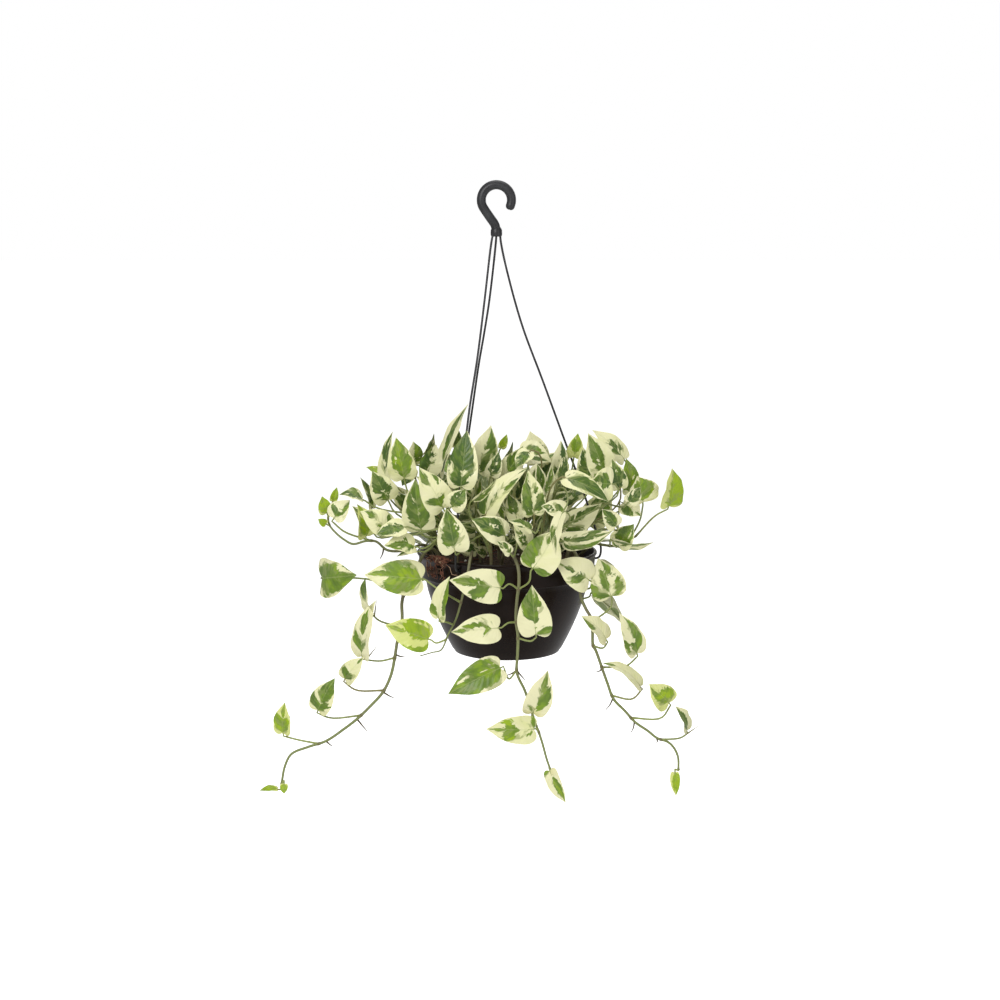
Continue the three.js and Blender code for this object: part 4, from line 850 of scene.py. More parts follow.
# The blotches of some leaves, laid on cream one over the other: green (1) or cream (-1), how far along
# the leaf from its stalk and how far across to its left edge, which is 1, its half length and breadth
# Most blobs are the leaves' own green and cream; two green ones are painted shade, in whole or in part, as
# noted at their leaves
vineMarksAndShade = {
    "left_vine": [
        [(1, 0.3, 0, 0.6, 1.5), (1, 0.78, -0.2, 0.25, 0.6), (-1, 0.42, 0.95, 0.3, 0.28),
         (-1, 0.14, -0.85, 0.14, 0.2), (-1, 0.55, -1, 0.2, 0.2), (-1, 0.75, 0.6, 0.14, 0.3)],
        [(1, 0.68, 0, 0.36, 1.2)],
        [(1, 0.58, 0.1, 0.14, 0.5), (1, 0.2, 0.2, 0.11, 0.6)],
        [(1, 0.14, 0.1, 0.16, 0.7), (1, 0.85, 0, 0.15, 0.4)],
        [(1, 0.68, -0.1, 0.4, 1), (1, 0.16, 0.2, 0.17, 1), (-1, 0.4, 0.5, 0.05, 0.7)],
        [(1, 0.26, 0.1, 0.26, 0.95), (1, 0.78, 0, 0.28, 0.35)],
        [(1, 0.5, 0, 0.6, 1.2)],
        [(1, 0.5, 0, 0.6, 1.2)],
    ],
    "front_left_vine": [
        [(1, 0.24, 0, 0.32, 0.95), (1, 0.5, 0.8, 0.15, 0.3), (1, 0.5, -0.5, 0.1, 0.3),
         (1, 0.78, -0.25, 0.2, 0.3), (-1, 0.12, 1, 0.2, 0.2), (-1, 0.22, -0.6, 0.1, 0.06)],
        # Its second green blob, on the right half, is partly the leaf's green and partly painted shade of
        # that half, which turns edge-on
        [(1, 0.2, 0.6, 0.12, 0.45), (1, 0.6, -0.7, 0.4, 0.35)],
        [(1, 0.26, -0.35, 0.33, 0.62), (1, 0.76, 0, 0.25, 0.25), (1, 0.26, 0.95, 0.26, 0.3),
         (-1, 0.25, -0.75, 0.22, 0.07)],
    ],
    "front_vine": [
        [(1, 0.72, -0.15, 0.28, 0.42), (1, 0.42, 0.4, 0.13, 0.6), (1, 0.04, 0.9, 0.14, 0.35),
         (1, 0.08, -0.8, 0.18, 0.36), (-1, 0.25, -0.2, 0.1, 0.2)],
        [(1, 0.82, 0, 0.16, 0.35), (1, 0.6, -0.35, 0.16, 0.2), (1, 0.42, -0.3, 0.12, 0.14),
         (1, 0.22, 0.05, 0.07, 0.4)],
        [(1, 0.66, 0.35, 0.3, 0.7), (1, 0.4, -0.05, 0.22, 0.2), (1, 0.74, -0.45, 0.2, 0.24),
         (-1, 0.92, -0.3, 0.12, 0.2), (1, 0.12, -0.6, 0.1, 0.5)],
        [(1, 0.34, 0.65, 0.32, 0.45), (1, 0.8, 0.1, 0.13, 0.35), (1, 0.02, -0.6, 0.14, 0.5)],
        [(1, 0.45, 0, 0.62, 1.2), (-1, 0.68, -0.5, 0.13, 0.14), (-1, 0.34, -0.25, 0.16, 0.04),
         (-1, 0.4, 0.95, 0.14, 0.22), (-1, 0.1, -0.55, 0.13, 0.06)],
        [(1, 0.76, -0.1, 0.22, 0.35), (1, 0.4, -0.4, 0.24, 0.42), (1, 0.1, 0.35, 0.05, 0.22)],
        [(1, 0.44, 0, 0.13, 0.45), (1, 0.56, -0.6, 0.11, 0.32), (1, 0.78, 0, 0.2, 0.2),
         (1, 0.54, 0.62, 0.1, 0.3), (1, 0.05, -0.6, 0.1, 0.36), (1, 0.14, 0.4, 0.07, 0.18)],
        [(1, 0.6, 0.3, 0.4, 0.5), (1, 0.05, -0.7, 0.1, 0.4)],
    ],
    "right_vine": [
        [(1, 0.32, 0.3, 0.13, 0.42), (1, 0.66, 0.05, 0.24, 0.14), (-1, 0.42, 0.02, 0.04, 0.12)],
        [(1, 0.42, 0.1, 0.3, 0.2), (1, 0.72, -0.45, 0.18, 0.36), (1, 0.24, -0.62, 0.2, 0.24),
         (1, 0.36, 0.85, 0.15, 0.26), (1, 0.12, 0.55, 0.1, 0.4)],
        [(1, 0.74, 0.6, 0.24, 0.4)],
        # Its last green blob is painted shade: the shadow inside the leaf's curled half
        [(1, 0.5, -0.45, 0.32, 0.36), (1, 0.12, -0.05, 0.14, 0.45), (1, 0.36, 0.75, 0.13, 0.2)],
        [(1, 0.86, 0, 0.17, 0.9)],
        [(1, 0.3, 0, 0.26, 0.5), (1, 0.62, 0.35, 0.24, 0.3), (1, 0.36, -0.6, 0.2, 0.3)],
        [(1, 0.5, 0.3, 0.45, 0.6)],
        [(1, 0.4, 0.3, 0.5, 0.9)],
    ],
    "left_runner": [
        [(1, 0.55, 0, 0.62, 1.2), (-1, 0.08, 0.6, 0.1, 0.3)],
        [(1, 0.5, 0, 0.6, 1.2)],
        [(1, 0.5, 0, 0.6, 1.2)],
        [(1, 0.25, 0.2, 0.13, 0.7), (1, 0.7, -0.5, 0.25, 0.35)],
        [(1, 0.3, 0.2, 0.26, 0.6), (1, 0.8, 0, 0.16, 0.5)],
    ],
    "right_runner": [
        [(1, 0.5, -0.5, 0.5, 0.8), (1, 0.02, 0.1, 0.1, 0.4)],
        [(1, 0.45, -0.1, 0.4, 0.75), (-1, 0.3, 0.3, 0.2, 0.1)],
        [(1, 0.5, 0.4, 0.5, 0.45), (1, 0.3, -0.7, 0.3, 0.2)],
        [(1, 0.5, 0, 0.55, 0.85), (-1, 0.6, -0.4, 0.25, 0.1)],
        [(1, 0.4, -0.45, 0.3, 0.45), (1, 0.85, 0, 0.14, 0.5)],
    ],
}
# Short brown roots along the trailing stems: from and to, across and down in the view
airRoots = {
    "left_vine": [(396, 654, 405, 657), (384, 692, 394, 698), (357, 720, 367, 731), (326, 742, 332, 746)],
    "right_vine": [(601, 669, 596, 672), (612.5, 699, 605.6, 710), (635, 722, 631, 732.5),
                   (656.7, 739, 656.7, 743)],
    "front_vine": [(508, 670, 504, 676), (519, 670, 525, 680)],
    "left_runner": [(380, 552, 380, 559)],
}
# Short pointed sheaths on the leaves' stalks, in the same form
sheaths = {
    "left_vine": [(372.5, 610, 376.5, 600), (367, 655, 377, 646), (290.5, 725, 290.2, 714)],
    "right_vine": [(685, 727.5, 699, 725.5)],
}

# The crown's leaves in the front view, in the same form
crownLeaves = [
    (469, 403, 440, 473, 26, -8, 31, -60, 0.05),
    (467, 430, 461, 486, 78, -8, 33, 0, 0.06),
    (491, 425, 478, 472, 42, 2, 33, 16, 0.06),
    (396, 437, 404, 478, 58, 6, 31, 0, 0.08),
    (393, 431, 386, 482, 30, -4, 24, -52, 0.08),
    (413, 441, 414, 464, 44, 4, 24, 46, 0.04),
    (434, 433, 424, 454, 14, 0, 20, 72, 0.08),
    (436, 444, 428, 472, 38, 2, 26, 20, 0.06),
    (419, 467, 443, 508, 84, 4, 33, 6, 0.1),
    (415, 479, 421, 529, 88, 8, 36, -8, 0.1),
    (446, 508, 455, 551, 98, 8, 34, 4, 0.08),
    (466, 489, 451, 507, 86, 2, 24, 8, 0.08),
    (434, 505, 438, 528, 80, 2, 18, 30, 0.06),
    (372, 471, 388, 500, 54, 4, 30, 8, 0.08),
    (366, 467, 384, 474, 40, 2, 12, 30, 0.06),
    (360, 477, 372, 508, 40, 2, 18, 64, 0.06),
    (339, 495, 362, 499, 66, 4, 22, 58, 0.16),
    (360, 511, 389, 529, 74, 4, 28, 16, 0.1),
    (376, 535, 404, 527, 76, 6, 22, 30, 0.08),
    (384, 546, 414, 546, 86, 6, 27, 40, 0.12),
    (397, 523, 428, 538, 96, 4, 18, 58, 0.1),
    (431, 557, 434, 530, 74, 8, 24, 8, 0.1),
    (396, 557, 416, 551, 92, 2, 12, 60, 0.06),
    (528, 468, 486, 514, 88, -8, 28, -34, 0.16),
    (471, 519, 505, 536, 100, 8, 29, 16, 0.08),
    (497, 541, 510, 553, 94, 2, 14, 30, 0.06),
    (504, 524, 491, 498, 74, 12, 20, -20, 0.1),
    (513, 524, 528, 546, 86, 6, 22, 10, 0.06),
    (508, 493, 517, 519, 72, 6, 20, 6, 0.06),
    (508, 521, 531, 530, 80, 4, 16, 50, 0.08),
    (528, 470, 534, 514, 80, 4, 27, 10, 0.08),
    (523, 446, 504, 477, 38, 2, 26, 12, 0.08),
    (513, 441, 497, 474, 22, 0, 20, 62, 0.06),
    (499, 452, 491, 476, 34, 2, 18, 10, 0.06),
    (507, 434, 501, 448, 0, 0, 10, 20, 0.04),
    (530, 431, 538, 462, 8, 0, 29, 0, 0.06),
    (552, 462, 520, 451, 46, 6, 30, -26, 0.1),
    (516, 468, 529, 452, 56, 6, 20, 30, 0.1),
    (537, 463, 541, 500, 62, 0, 20, 30, 0.06),
    (551, 466, 546, 494, 66, 0, 16, 40, 0.06),
    (561, 440, 556, 478, 30, 0, 22, 24, 0.06),
    (566, 456, 559, 480, 40, 0, 16, 30, 0.06),
    (578, 433, 574, 457, 14, 2, 18, 0, 0.06),
    (583, 447, 589, 480, 26, 2, 24, 0, 0.06),
    (588, 433, 604, 473, 48, 4, 32, 12, 0.08),
    (592, 430, 624, 459, 20, 0, 26, 34, 0.08),
    (612, 459, 620, 488, 52, 2, 21, 0, 0.08),
    (626, 458, 630, 492, 38, 2, 24, 30, 0.08),
    (590, 483, 612, 484, 72, 4, 36, 0, 0.06),
    (609, 502, 566, 478, 80, 4, 24, -30, 0.12),
    (592, 504, 549, 490, 74, 6, 20, -52, 0.16),
    (541, 506, 565, 512, 90, 4, 22, 20, 0.08),
    (545, 532, 552, 503, 80, 12, 24, 6, 0.06),
    (602, 503, 564, 529, 98, 6, 28, 10, 0.1),
    (613, 531, 564, 541, 100, 6, 24, 24, 0.1),
    (620, 548, 572, 546, 88, 4, 20, 54, 0.1),
    (602, 509, 616, 526, 72, 4, 20, 10, 0.06),
    (640, 487, 629, 502, 54, 2, 18, 20, 0.06),
    (556, 556, 562, 514, 104, 4, 18, 48, 0.1),
    (402, 486, 412, 468, 34, 4, 18, 0, 0.06),
    (448, 476, 436, 500, 58, 0, 16, 40, 0.06),
    (398, 505, 393, 524, 72, 2, 16, 40, 0.06),
    (459, 430, 455, 447, 22, 0, 12, 20, 0.06),
    (480, 476, 470, 506, 66, 0, 18, 54, 0.08),
    (497, 478, 474, 500, 78, 0, 14, 60, 0.08),
    (388, 484, 412, 514, 22, 4, 26, 30, 0.08),
    (612, 490, 590, 524, 8, 2, 34, -10, 0.08),
    (352, 506, 372, 530, 44, 2, 22, 40, 0.1),
]
crownLooks = [
    (0.53, 0, 0.1), (0.83, -0.25, 0.1), (0.63, -0.8, 0.3), (0.73, 0, 0.6), (0.76, 0, 0.15), (0.83, 0, 0.5),
    (0.86, 0, 0), (0.86, 0, 0.1), (0.53, 0, 0.35), (0.79, -0.3, 0.35), (0.58, 0, 0.25), (0.6, 0, 0.2),
    (0.7, 0, 0.2), (0.63, 0.2, 0.25), (0.83, 0, 0.9), (0.86, 0, 0.1), (0.7, 0, 0.2), (0.53, 0, 0.3),
    (0.7, 0, 0.2), (0.66, 0.3, 0.4), (0.43, 0, 0.3), (0.86, 0, 0.1), (0.43, 0, 0.3), (0.18, 0, 0.2),
    (0.7, 0, 0.15), (0.43, 0, 0.2), (0.63, 0, 0.4), (0.53, 0, 0.25), (0.79, 0, 0.3), (0.43, 0, 0.2),
    (0.76, -0.5, 0.3), (0.83, 0, 0.3), (0.83, 0, 0), (0.83, 0, 0), (0.89, 0, 1), (0.22, 0, 0.1),
    (0.5, 0, 0.25), (0.76, 0, 0.15), (0.63, 0, 0.2), (0.6, 0, 0.4), (0.25, 0, 0.1), (0.83, 0, 0.05),
    (0.7, 0, 0.8), (0.86, 0, 0.1), (0.83, -0.4, 0.4), (0.43, 0, 0.2), (0.73, 0, 0.15), (0.76, -0.4, 0.6),
    (0.22, 0, 0.2), (0.86, 0, 0.15), (0.25, 0, 0.2), (0.18, 0, 0.2), (0.86, 0, 0.05), (0.63, -0.8, 0.2),
    (0.56, 0, 0.25), (0.63, 0, 0.2), (0.63, 0, 0.25), (0.86, 0, 0.1), (0.18, 0, 0.2), (0.86, 0, 0.1),
    (0.86, 0, 0.1), (0.73, 0, 0.15), (0.76, 0, 0.2), (0.53, 0, 0.4), (0.56, 0, 0.3),
    (0.63, 0, 0.2), (0.7, 0, 0.2), (0.56, 0, 0.3),
]
# The blotches of some of them, by the number of their row
crownMarks = {
    0: [(1, 0.6, 0.15, 0.4, 0.3)],
    1: [(1, 0.45, 0.15, 0.58, 0.9), (-1, 0.55, -0.95, 0.5, 0.3)],
    2: [(1, 0.5, -0.4, 0.42, 0.42)],
    3: [(1, 0.5, -0.1, 0.5, 0.75), (-1, 0.6, 0.3, 0.25, 0.06), (-1, 0.42, 0.35, 0.25, 0.06)],
    4: [(1, 0.6, 0, 0.36, 0.6)],
    5: [(1, 0.6, -0.6, 0.4, 0.6)],
    7: [(1, 0.4, 0.65, 0.4, 0.5)],
    8: [(1, 0.16, 0.1, 0.1, 0.5), (1, 0.84, 0.4, 0.16, 0.6)],
    9: [(1, 0.5, -0.05, 0.52, 0.78), (-1, 0.3, 0.95, 0.35, 0.35)],
    10: [(1, 0.6, -0.05, 0.36, 0.6), (1, 0.3, 0.2, 0.12, 0.5)],
    11: [(1, 0.5, 0, 0.45, 0.65)],
    17: [(1, 0.7, -0.3, 0.12, 0.35), (1, 0.08, 0.3, 0.12, 0.6)],
    19: [(1, 0.5, 0.3, 0.46, 0.5)],
    23: [(1, 0.9, 0, 0.1, 0.6), (1, 0.15, 0.7, 0.2, 0.3)],
    24: [(1, 0.52, -0.15, 0.5, 0.66)],
    26: [(1, 0.5, 0.3, 0.4, 0.5)],
    27: [(1, 0.3, 0.2, 0.2, 0.4)],
    28: [(1, 0.62, 0, 0.4, 0.7)],
    30: [(1, 0.5, 0.5, 0.5, 0.4), (1, 0.3, -0.6, 0.2, 0.3)],
    31: [(1, 0.62, 0, 0.4, 0.7)],
    35: [(1, 0.6, 0.35, 0.12, 0.16)],
    36: [(1, 0.6, -0.35, 0.3, 0.2), (1, 0.4, 0.4, 0.2, 0.2)],
    42: [(1, 0.6, 0, 0.4, 0.8)],
    43: [(1, 0.45, 0, 0.38, 0.6)],
    44: [(1, 0.5, 0.1, 0.5, 0.46)],
    45: [(1, 0.3, 0, 0.2, 0.3)],
    47: [(1, 0.5, 0, 0.6, 1)],
    49: [(1, 0.5, 0, 0.5, 0.8), (-1, 0.5, -0.7, 0.4, 0.15)],
    53: [(1, 0.5, 0.3, 0.42, 0.3), (1, 0.2, -0.5, 0.15, 0.3)],
    54: [(1, 0.5, 0.05, 0.5, 0.22), (1, 0.45, -0.7, 0.4, 0.2)],
}

# Where the crown's shoots stand: rings round the pot's axis, and the angles on each
shootRings = [
    (76, [-135, -103, -62, -15, 20, 60, 100, 140, 178]),
    (46, [-70, -20, 30, 80, 130, 180, -130]),
    (18, [0, 120, 240]),
]
shoot = {"height": 46, "joints": 11, "radius": 1.7}
backVines = [("back_vine_1", 38, 88), ("back_vine_2", 82, 66), ("back_vine_3", 128, 96)]  # angle, drop

# Room in the plant is kept in small cells, so that no leaf or stalk runs into another
room = {"cell": 3.2, "bladeStep": 2.3, "stalkStep": 2}
bladeCells = {}
stalkCells = {}


def cellOf(point):
    size = room["cell"]
    return (math.floor(point[0] / size), math.floor(point[1] / size), math.floor(point[2] / size))


def fillCells(cells, points, owner, reach=1):
    span = range(-reach, reach + 1)
    for i, j, k in {cellOf(point) for point in points}:
        for a in span:
            for b in span:
                for c in span:
                    key = (i + a, j + b, k + c)
                    cells[key] = owner if cells.get(key, owner) == owner else "several"


def isClear(points, owner=None):
    # Whether the points meet no blade, and no stem or stalk but the owner's, if there is one
    for point in points:
        key = cellOf(point)
        if key in bladeCells or (key in stalkCells and stalkCells[key] != owner):
            return False
    return True


def bladeSamples(blade):
    rows = math.ceil(blade["length"] / room["bladeStep"])
    for i in range(rows + 1):
        along = i / rows
        columns = math.ceil((0.5 * blade["width"] * halfWidth(along)) / room["bladeStep"])
        for j in range(-columns, columns + 1):
            yield bladePoint(blade, along, j / columns if columns else 0)


def lineSamples(route, skip):
    walked = 0
    for before, after in zip(route, route[1:]):
        length = lengthOf(minus(after, before))
        steps = max(1, math.ceil(length / room["stalkStep"]))
        for j in range(steps):
            if walked + (length * j) / steps >= skip:
                yield between(before, after, j / steps)
        walked += length


plants = []


def addPlant(name, tone):
    plant = {"name": name, "tone": tone, "owner": len(plants), "leaves": [], "stems": []}
    plants.append(plant)
    return plant


def addStem(plant, root, points, steps, radii):
    # A stem stands straight in the soil and then follows the given points
    x, y = root
    ground = soilHeight(x, y)
    points = [(x, y, ground + soil["straight"])] + points
    plant["route"] = curvePoints(points, steps)
    plant["curve"] = points
    plant["radii"] = radii
    plant["buried"] = (x, y, ground - soil["rootDepth"])
    fillCells(stalkCells, lineSamples(plant["route"], 0), plant["owner"], 2)


def keepLeaf(plant, blade, way, stalk, look):
    # way is the stalk as it takes up room, stalk the finer curve that is drawn
    fillCells(bladeCells, bladeSamples(blade), plant["owner"])
    fillCells(stalkCells, lineSamples(way + [stalkEnd(blade), blade["base"]], 0), plant["owner"])
    plant["leaves"].append((blade, stalk, look))


def elbowPoints(plant, row, blade):
    # The stalk of a leaf on a trailing stem, by its elbow
    jointAcross, jointDown, elbowAcross, elbowDown = row[9:]
    best = math.inf
    for place in plant["route"]:
        distance = lengthOf(minus(seen(jointAcross, jointDown, -place[1]), place))
        if distance < best:
            best, joint = distance, place
    elbow = seen(elbowAcross, elbowDown, -(joint[1] + 2 * blade["base"][1]) / 3)
    return [joint, elbow, stalkEnd(blade)]


def archedPoints(joint, blade, lift):
    # The stalk of a crown leaf: up and outward from the shoot, then over to the blade
    end = stalkEnd(blade)
    reach = lengthOf(minus(end, joint))
    share = 0.35 / (reach + 1)
    leaving = ((end[0] - joint[0]) * share, (end[1] - joint[1]) * share, 1)
    arriving = scaled(blade["axis"], 0.7)
    arriving = unit((arriving[0], arriving[1], arriving[2] + 0.6))
    first = plus(joint, leaving, reach * (0.38 + lift))
    second = plus(end, arriving, -reach * (0.3 - 0.5 * lift))
    return [joint, first, second, end]


def growTrailing(draw):
    for name, (root, route, radii, leaves) in trailing.items():
        plant = addPlant(name, 0.7)
        addStem(plant, root, [seen(*point) for point in route], math.floor(1.1 * len(route) + 0.5), radii)
        for row, look, marks in zip(leaves, vineLooks[name], vineMarksAndShade[name]):
            blade = seenBlade(row, 0, 0, draw())
            points = elbowPoints(plant, row, blade)
            way = [points[0], catmullRom(points, 0.5)]
            keepLeaf(plant, blade, way, curvePoints(points, 9)[:-1], look + (marks,))


def growShoots():
    shoots = []
    for radius, angles in shootRings:
        for angle in angles:
            out = (math.cos(angle * degree), math.sin(angle * degree), 0)
            x, y = out[0] * radius, out[1] * radius
            plant = addPlant(f"crown_shoot_{len(shoots) + 1}", 0.3)
            ground = soilHeight(x, y)
            bend = (x + out[0] * 2, y + out[1] * 2, ground + 0.5 * shoot["height"])
            top = (x + out[0] * 0.1 * radius, y + out[1] * 0.1 * radius, ground + shoot["height"])
            addStem(plant, (x, y), [bend, top], 3, (shoot["radius"], shoot["radius"] * 0.7))
            plant["joints"] = curvePoints(plant["route"], shoot["joints"])[2:]
            shoots.append(plant)
    return shoots


def shootsFor(shoots, blade):
    # The shoots that could carry a blade, the nearest first
    def cost(plant):
        foot = plant["route"][0]
        x, y = foot[0] - 0.62 * blade["base"][0], foot[1] - 0.62 * blade["base"][1]
        distance = math.sqrt(x * x + y * y) + 5 * max(0, len(plant["leaves"]) - 5)
        return math.floor(1000 * distance + 0.5)

    return sorted(shoots, key=cost)[:4]


def tryBlade(shoots, blade, look):
    if not isClear(bladeSamples(blade)):
        return False
    for plant in shootsFor(shoots, blade):
        for joint in plant["joints"]:
            for lift in (0, 0.12, -0.12, 0.25):
                points = archedPoints(joint, blade, lift)
                way = [joint, bezier(points, 0.55)]
                if isClear(lineSamples(way + [points[3], blade["base"]], 5), plant["owner"]):
                    keepLeaf(plant, blade, way, [bezier(points, i / 10) for i in range(10)], look)
                    plant["joints"] = [other for other in plant["joints"] if other is not joint]
                    return True
    return False


# Ways to bring a leaf of the front view clear: millimetres toward the eye and degrees about its line
shifts = [0, 5, -5, 10, -10, 15, -15, 20, -20, 26, -26, 32, -32, 40, -40, 50, -50]
swivels = [0, 20, -20]


def growCrown(shoots, draw):
    for i, (row, look) in enumerate(zip(crownLeaves, crownLooks)):
        phase = draw()
        look += (crownMarks.get(i),)
        any(tryBlade(shoots, seenBlade(row, shift, swivel, phase), look)
            for swivel in swivels for shift in shifts)


# Leaves round the sides and the back, and deeper in the crown, by a seeded rule
fill = {
    "tries": 1500,
    "most": 57,
    "goldenAngle": 137.508,
    "middleHeight": 24,  # above the rim
    "reach": (60, 86),  # from that middle to a leaf's stalk end, above and at the sides
    "innerReach": 0.58,  # of that, for every third leaf
    "climb": (-12, 98),  # from level to that end, the least and up to how much more
    "rise": (8, 26),  # of a leaf's own line over that, and of an inner leaf's
    "length": (38, 60),
    "frontLimit": -28,  # leaves in front of this are those of the front view
    "innerLimit": -58,  # but inner ones may stand behind them
    "topLimit": 116,  # of a tip, as the front view sees it
}
turns = [(swing, dip) for swing in (0, 14, -14) for dip in (0, 12, -12)]
moves = [(out, up, aside) for up in (0, 8, -8) for aside in (0, 9, -9) for out in (0, 7, -7)]


def fillBlade(index, draw):
    # How the leaf of the given number may stand: a function of a turn and a move
    azimuth = (index * fill["goldenAngle"] + 10 * draw()) * degree
    climb = (fill["climb"][0] + fill["climb"][1] * draw() ** 1.4) * degree
    deep = index % 3 == 2
    outermost = within(fill["reach"][::-1], math.sin(climb))
    reach = outermost * (fill["innerReach"] if deep else 0.9 + 0.16 * draw())
    length = within(fill["length"], draw())
    width = length * (0.5 + 0.14 * draw())
    arch = 0.08 + 0.06 * draw()
    phase = draw()
    level = (math.cos(azimuth), math.sin(azimuth), 0)
    aside = (-level[1], level[0], 0)
    out = (level[0] * math.cos(climb), level[1] * math.cos(climb), math.sin(climb))
    rise = 0.7 * climb + (fill["rise"][1] if deep else fill["rise"][0] + 30 * (draw() - 0.5)) * degree
    face = plus(scaled(level, 0.7), aside, 0.6 * (draw() - 0.5))
    face = (face[0], face[1], 1)

    def bladeAt(turn, move):
        (swing, dip), (outward, up, sideward) = turn, move
        base = plus(scaled(out, reach + outward), aside, sideward)
        base = (base[0], base[1], base[2] + fill["middleHeight"] + up)
        axis = plus(scaled(level, math.cos(swing * degree)), aside, math.sin(swing * degree))
        axis = scaled(axis, math.cos(rise + dip * degree))
        axis = (axis[0], axis[1], math.sin(rise + dip * degree))
        return makeBlade(base, plus(base, axis, length), face, width, arch, phase)

    return bladeAt


def inBounds(blade, limit):
    # Whether a blade stays behind the front view's leaves and under its outline
    highest = blade["tip"][2] + 0.14 * blade["tip"][1]
    return min(blade["base"][1], blade["tip"][1]) > limit and highest < fill["topLimit"]


def growFill(shoots, draw, lookDraw):
    grown = 0
    for index in range(fill["tries"]):
        if grown == fill["most"]:
            break
        bladeAt = fillBlade(index, draw)
        look = (0.45 + 0.45 * lookDraw(), 0.8 * (lookDraw() - 0.5), 0.05 + 0.4 * lookDraw(), None)
        limit = fill["innerLimit" if index % 3 == 2 else "frontLimit"]
        for turn in turns:
            blades = (bladeAt(turn, move) for move in moves)
            if any(inBounds(blade, limit) and tryBlade(shoots, blade, look) for blade in blades):
                grown += 1
                break


# Small leaves deep in the crown, beyond those of the solids, which close it to the eye
inner = {
    "tries": 2000,
    "most": 90,
    "reach": (6, 64),  # from the pot's axis to a leaf's stalk end
    "height": (4, 66),  # of it above the rim
    "length": (20, 36),
    "rise": (74, 12),  # in the middle of the crown and at its rim
    "topLimit": 96,
    "joints": 14,
    "room": {"cell": 1.8, "bladeStep": 1.5, "stalkStep": 1.2},
}


def sharpenRoom():
    # Smaller cells for the leaves between the leaves
    room.update(inner["room"])
    bladeCells.clear()
    stalkCells.clear()
    reserveHolder()
    for plant in plants:
        fillCells(stalkCells, lineSamples(plant["route"], 0), plant["owner"], 2)
        for blade, stalk, _ in plant["leaves"]:
            fillCells(bladeCells, bladeSamples(blade), plant["owner"])
            fillCells(stalkCells, lineSamples(stalk + [stalkEnd(blade), blade["base"]], 0), plant["owner"])


def growInner(shoots, draw):
    sharpenRoom()
    for plant in shoots:
        plant["joints"] = curvePoints(plant["route"], inner["joints"])[3:]
    grown = 0
    for index in range(inner["tries"]):
        azimuth = (index * fill["goldenAngle"] + 30 * draw()) * degree
        share = math.sqrt(draw())
        reach = within(inner["reach"], share)
        height = within(inner["height"], draw() ** 1.3)
        length = within(inner["length"], draw())
        rise = (within(inner["rise"], share) + 24 * (draw() - 0.5)) * degree
        out = (math.cos(azimuth), math.sin(azimuth), 0)
        aside = (-out[1], out[0], 0)
        base = (reach * out[0], reach * out[1], height)
        axis = unit(plus(scaled(out, math.cos(rise)), aside, 1.2 * (draw() - 0.5)))
        axis = (axis[0] * math.cos(rise), axis[1] * math.cos(rise), math.sin(rise))
        face = plus(out, aside, 1.4 * (draw() - 0.5))
        face = (face[0], face[1] - 0.5, 0.5)
        blade = makeBlade(base, plus(base, axis, length), face, length * (0.5 + 0.16 * draw()), 0.08, draw())
        look = (0.5 + 0.45 * draw(), 0.8 * (draw() - 0.5), 0.3 * draw(), None)
        if blade["tip"][2] < inner["topLimit"] and tryBlade(shoots, blade, look):
            grown += 1
            if grown == inner["most"]:
                break
    print("small inner leaves:", grown)


def growBackVines(draw, lookDraw):
    for name, angle, drop in backVines:
        plant = addPlant(name, 0.7)

        def polar(radius, z, turn):
            towards = (angle + turn) * degree
            return (radius * math.cos(towards), radius * math.sin(towards), z)

        points = [polar(93, 9, 0), polar(103, 7, 1), polar(110, -6, 2)]
        z = -26
        while z > -drop:
            points.append(polar(112 - 0.06 * z, z, 2 + 3 * math.sin(z / 20)))
            z -= 22
        root = polar(80, 0, 0)
        addStem(plant, root[:2], points, 2 * len(points), (1.9, 1.1))
        joints = len(plant["route"]) - 1
        out = (math.cos(angle * degree), math.sin(angle * degree), 0)
        for i in range(math.floor(drop / 15)):
            joint = plant["route"][math.floor(joints - i * (joints / (drop / 11)) + 0.5)]
            hand = 1 if i % 2 else -1
            aside = (-out[1] * hand, out[0] * hand, 0)
            base = plus(plus(joint, aside, 11), out, 8)
            base = (base[0], base[1], base[2] + 4 + 8 * draw())
            length = 42 + 12 * draw()
            axis = plus(scaled(aside, 0.75), out, 0.25)
            axis = unit((axis[0], axis[1], -0.35 - 0.5 * draw()))
            blade = makeBlade(base, plus(base, axis, length), (out[0], out[1], 0.35), 0.62 * length, 0.07,
                              draw())
            look = (0.4 + 0.45 * lookDraw(), 0.8 * (lookDraw() - 0.5), 0.3 + 0.5 * lookDraw(), None)
            elbow = plus(between(joint, base, 0.5), out, 2)
            way = [joint, elbow]
            if isClear(bladeSamples(blade)) and isClear(lineSamples(way + [stalkEnd(blade), base], 5),
                                                        plant["owner"]):
                stalk = curvePoints([joint, elbow, stalkEnd(blade)], 9)[:-1]
                keepLeaf(plant, blade, way, stalk, look)


def reserveHolder():
    # The pot and the hanger take up room too
    holder = []
    for turn in range(0, 360, 2):
        x, y = math.cos(turn * degree), math.sin(turn * degree)
        z = -pot["height"]
        while z <= 0:
            radius = pot["rimRadius"] - 1.5 if z > -pot["collarHeight"] else bodyRadius(z)
            holder.append((x * radius, y * radius, z))
            z += 3.4
        radius = 0
        while radius < pot["neckRadius"]:
            holder.append((x * radius, y * radius, soilHeight(x * radius, y * radius) - 3))
            radius += 3.4
    for route in strandRoutes:
        holder.extend(lineSamples(route, 0))
    fillCells(bladeCells, holder, "holder")


def growAll():
    draw, lookDraw = makeDraw(2027), makeDraw(4711)
    reserveHolder()
    growTrailing(draw)
    shoots = growShoots()
    growBackVines(draw, lookDraw)
    growCrown(shoots, draw)
    growFill(shoots, draw, lookDraw)
    growInner(shoots, makeDraw(909))


growAll()
print("leaves laid out:", sum(len(plant["leaves"]) for plant in plants))

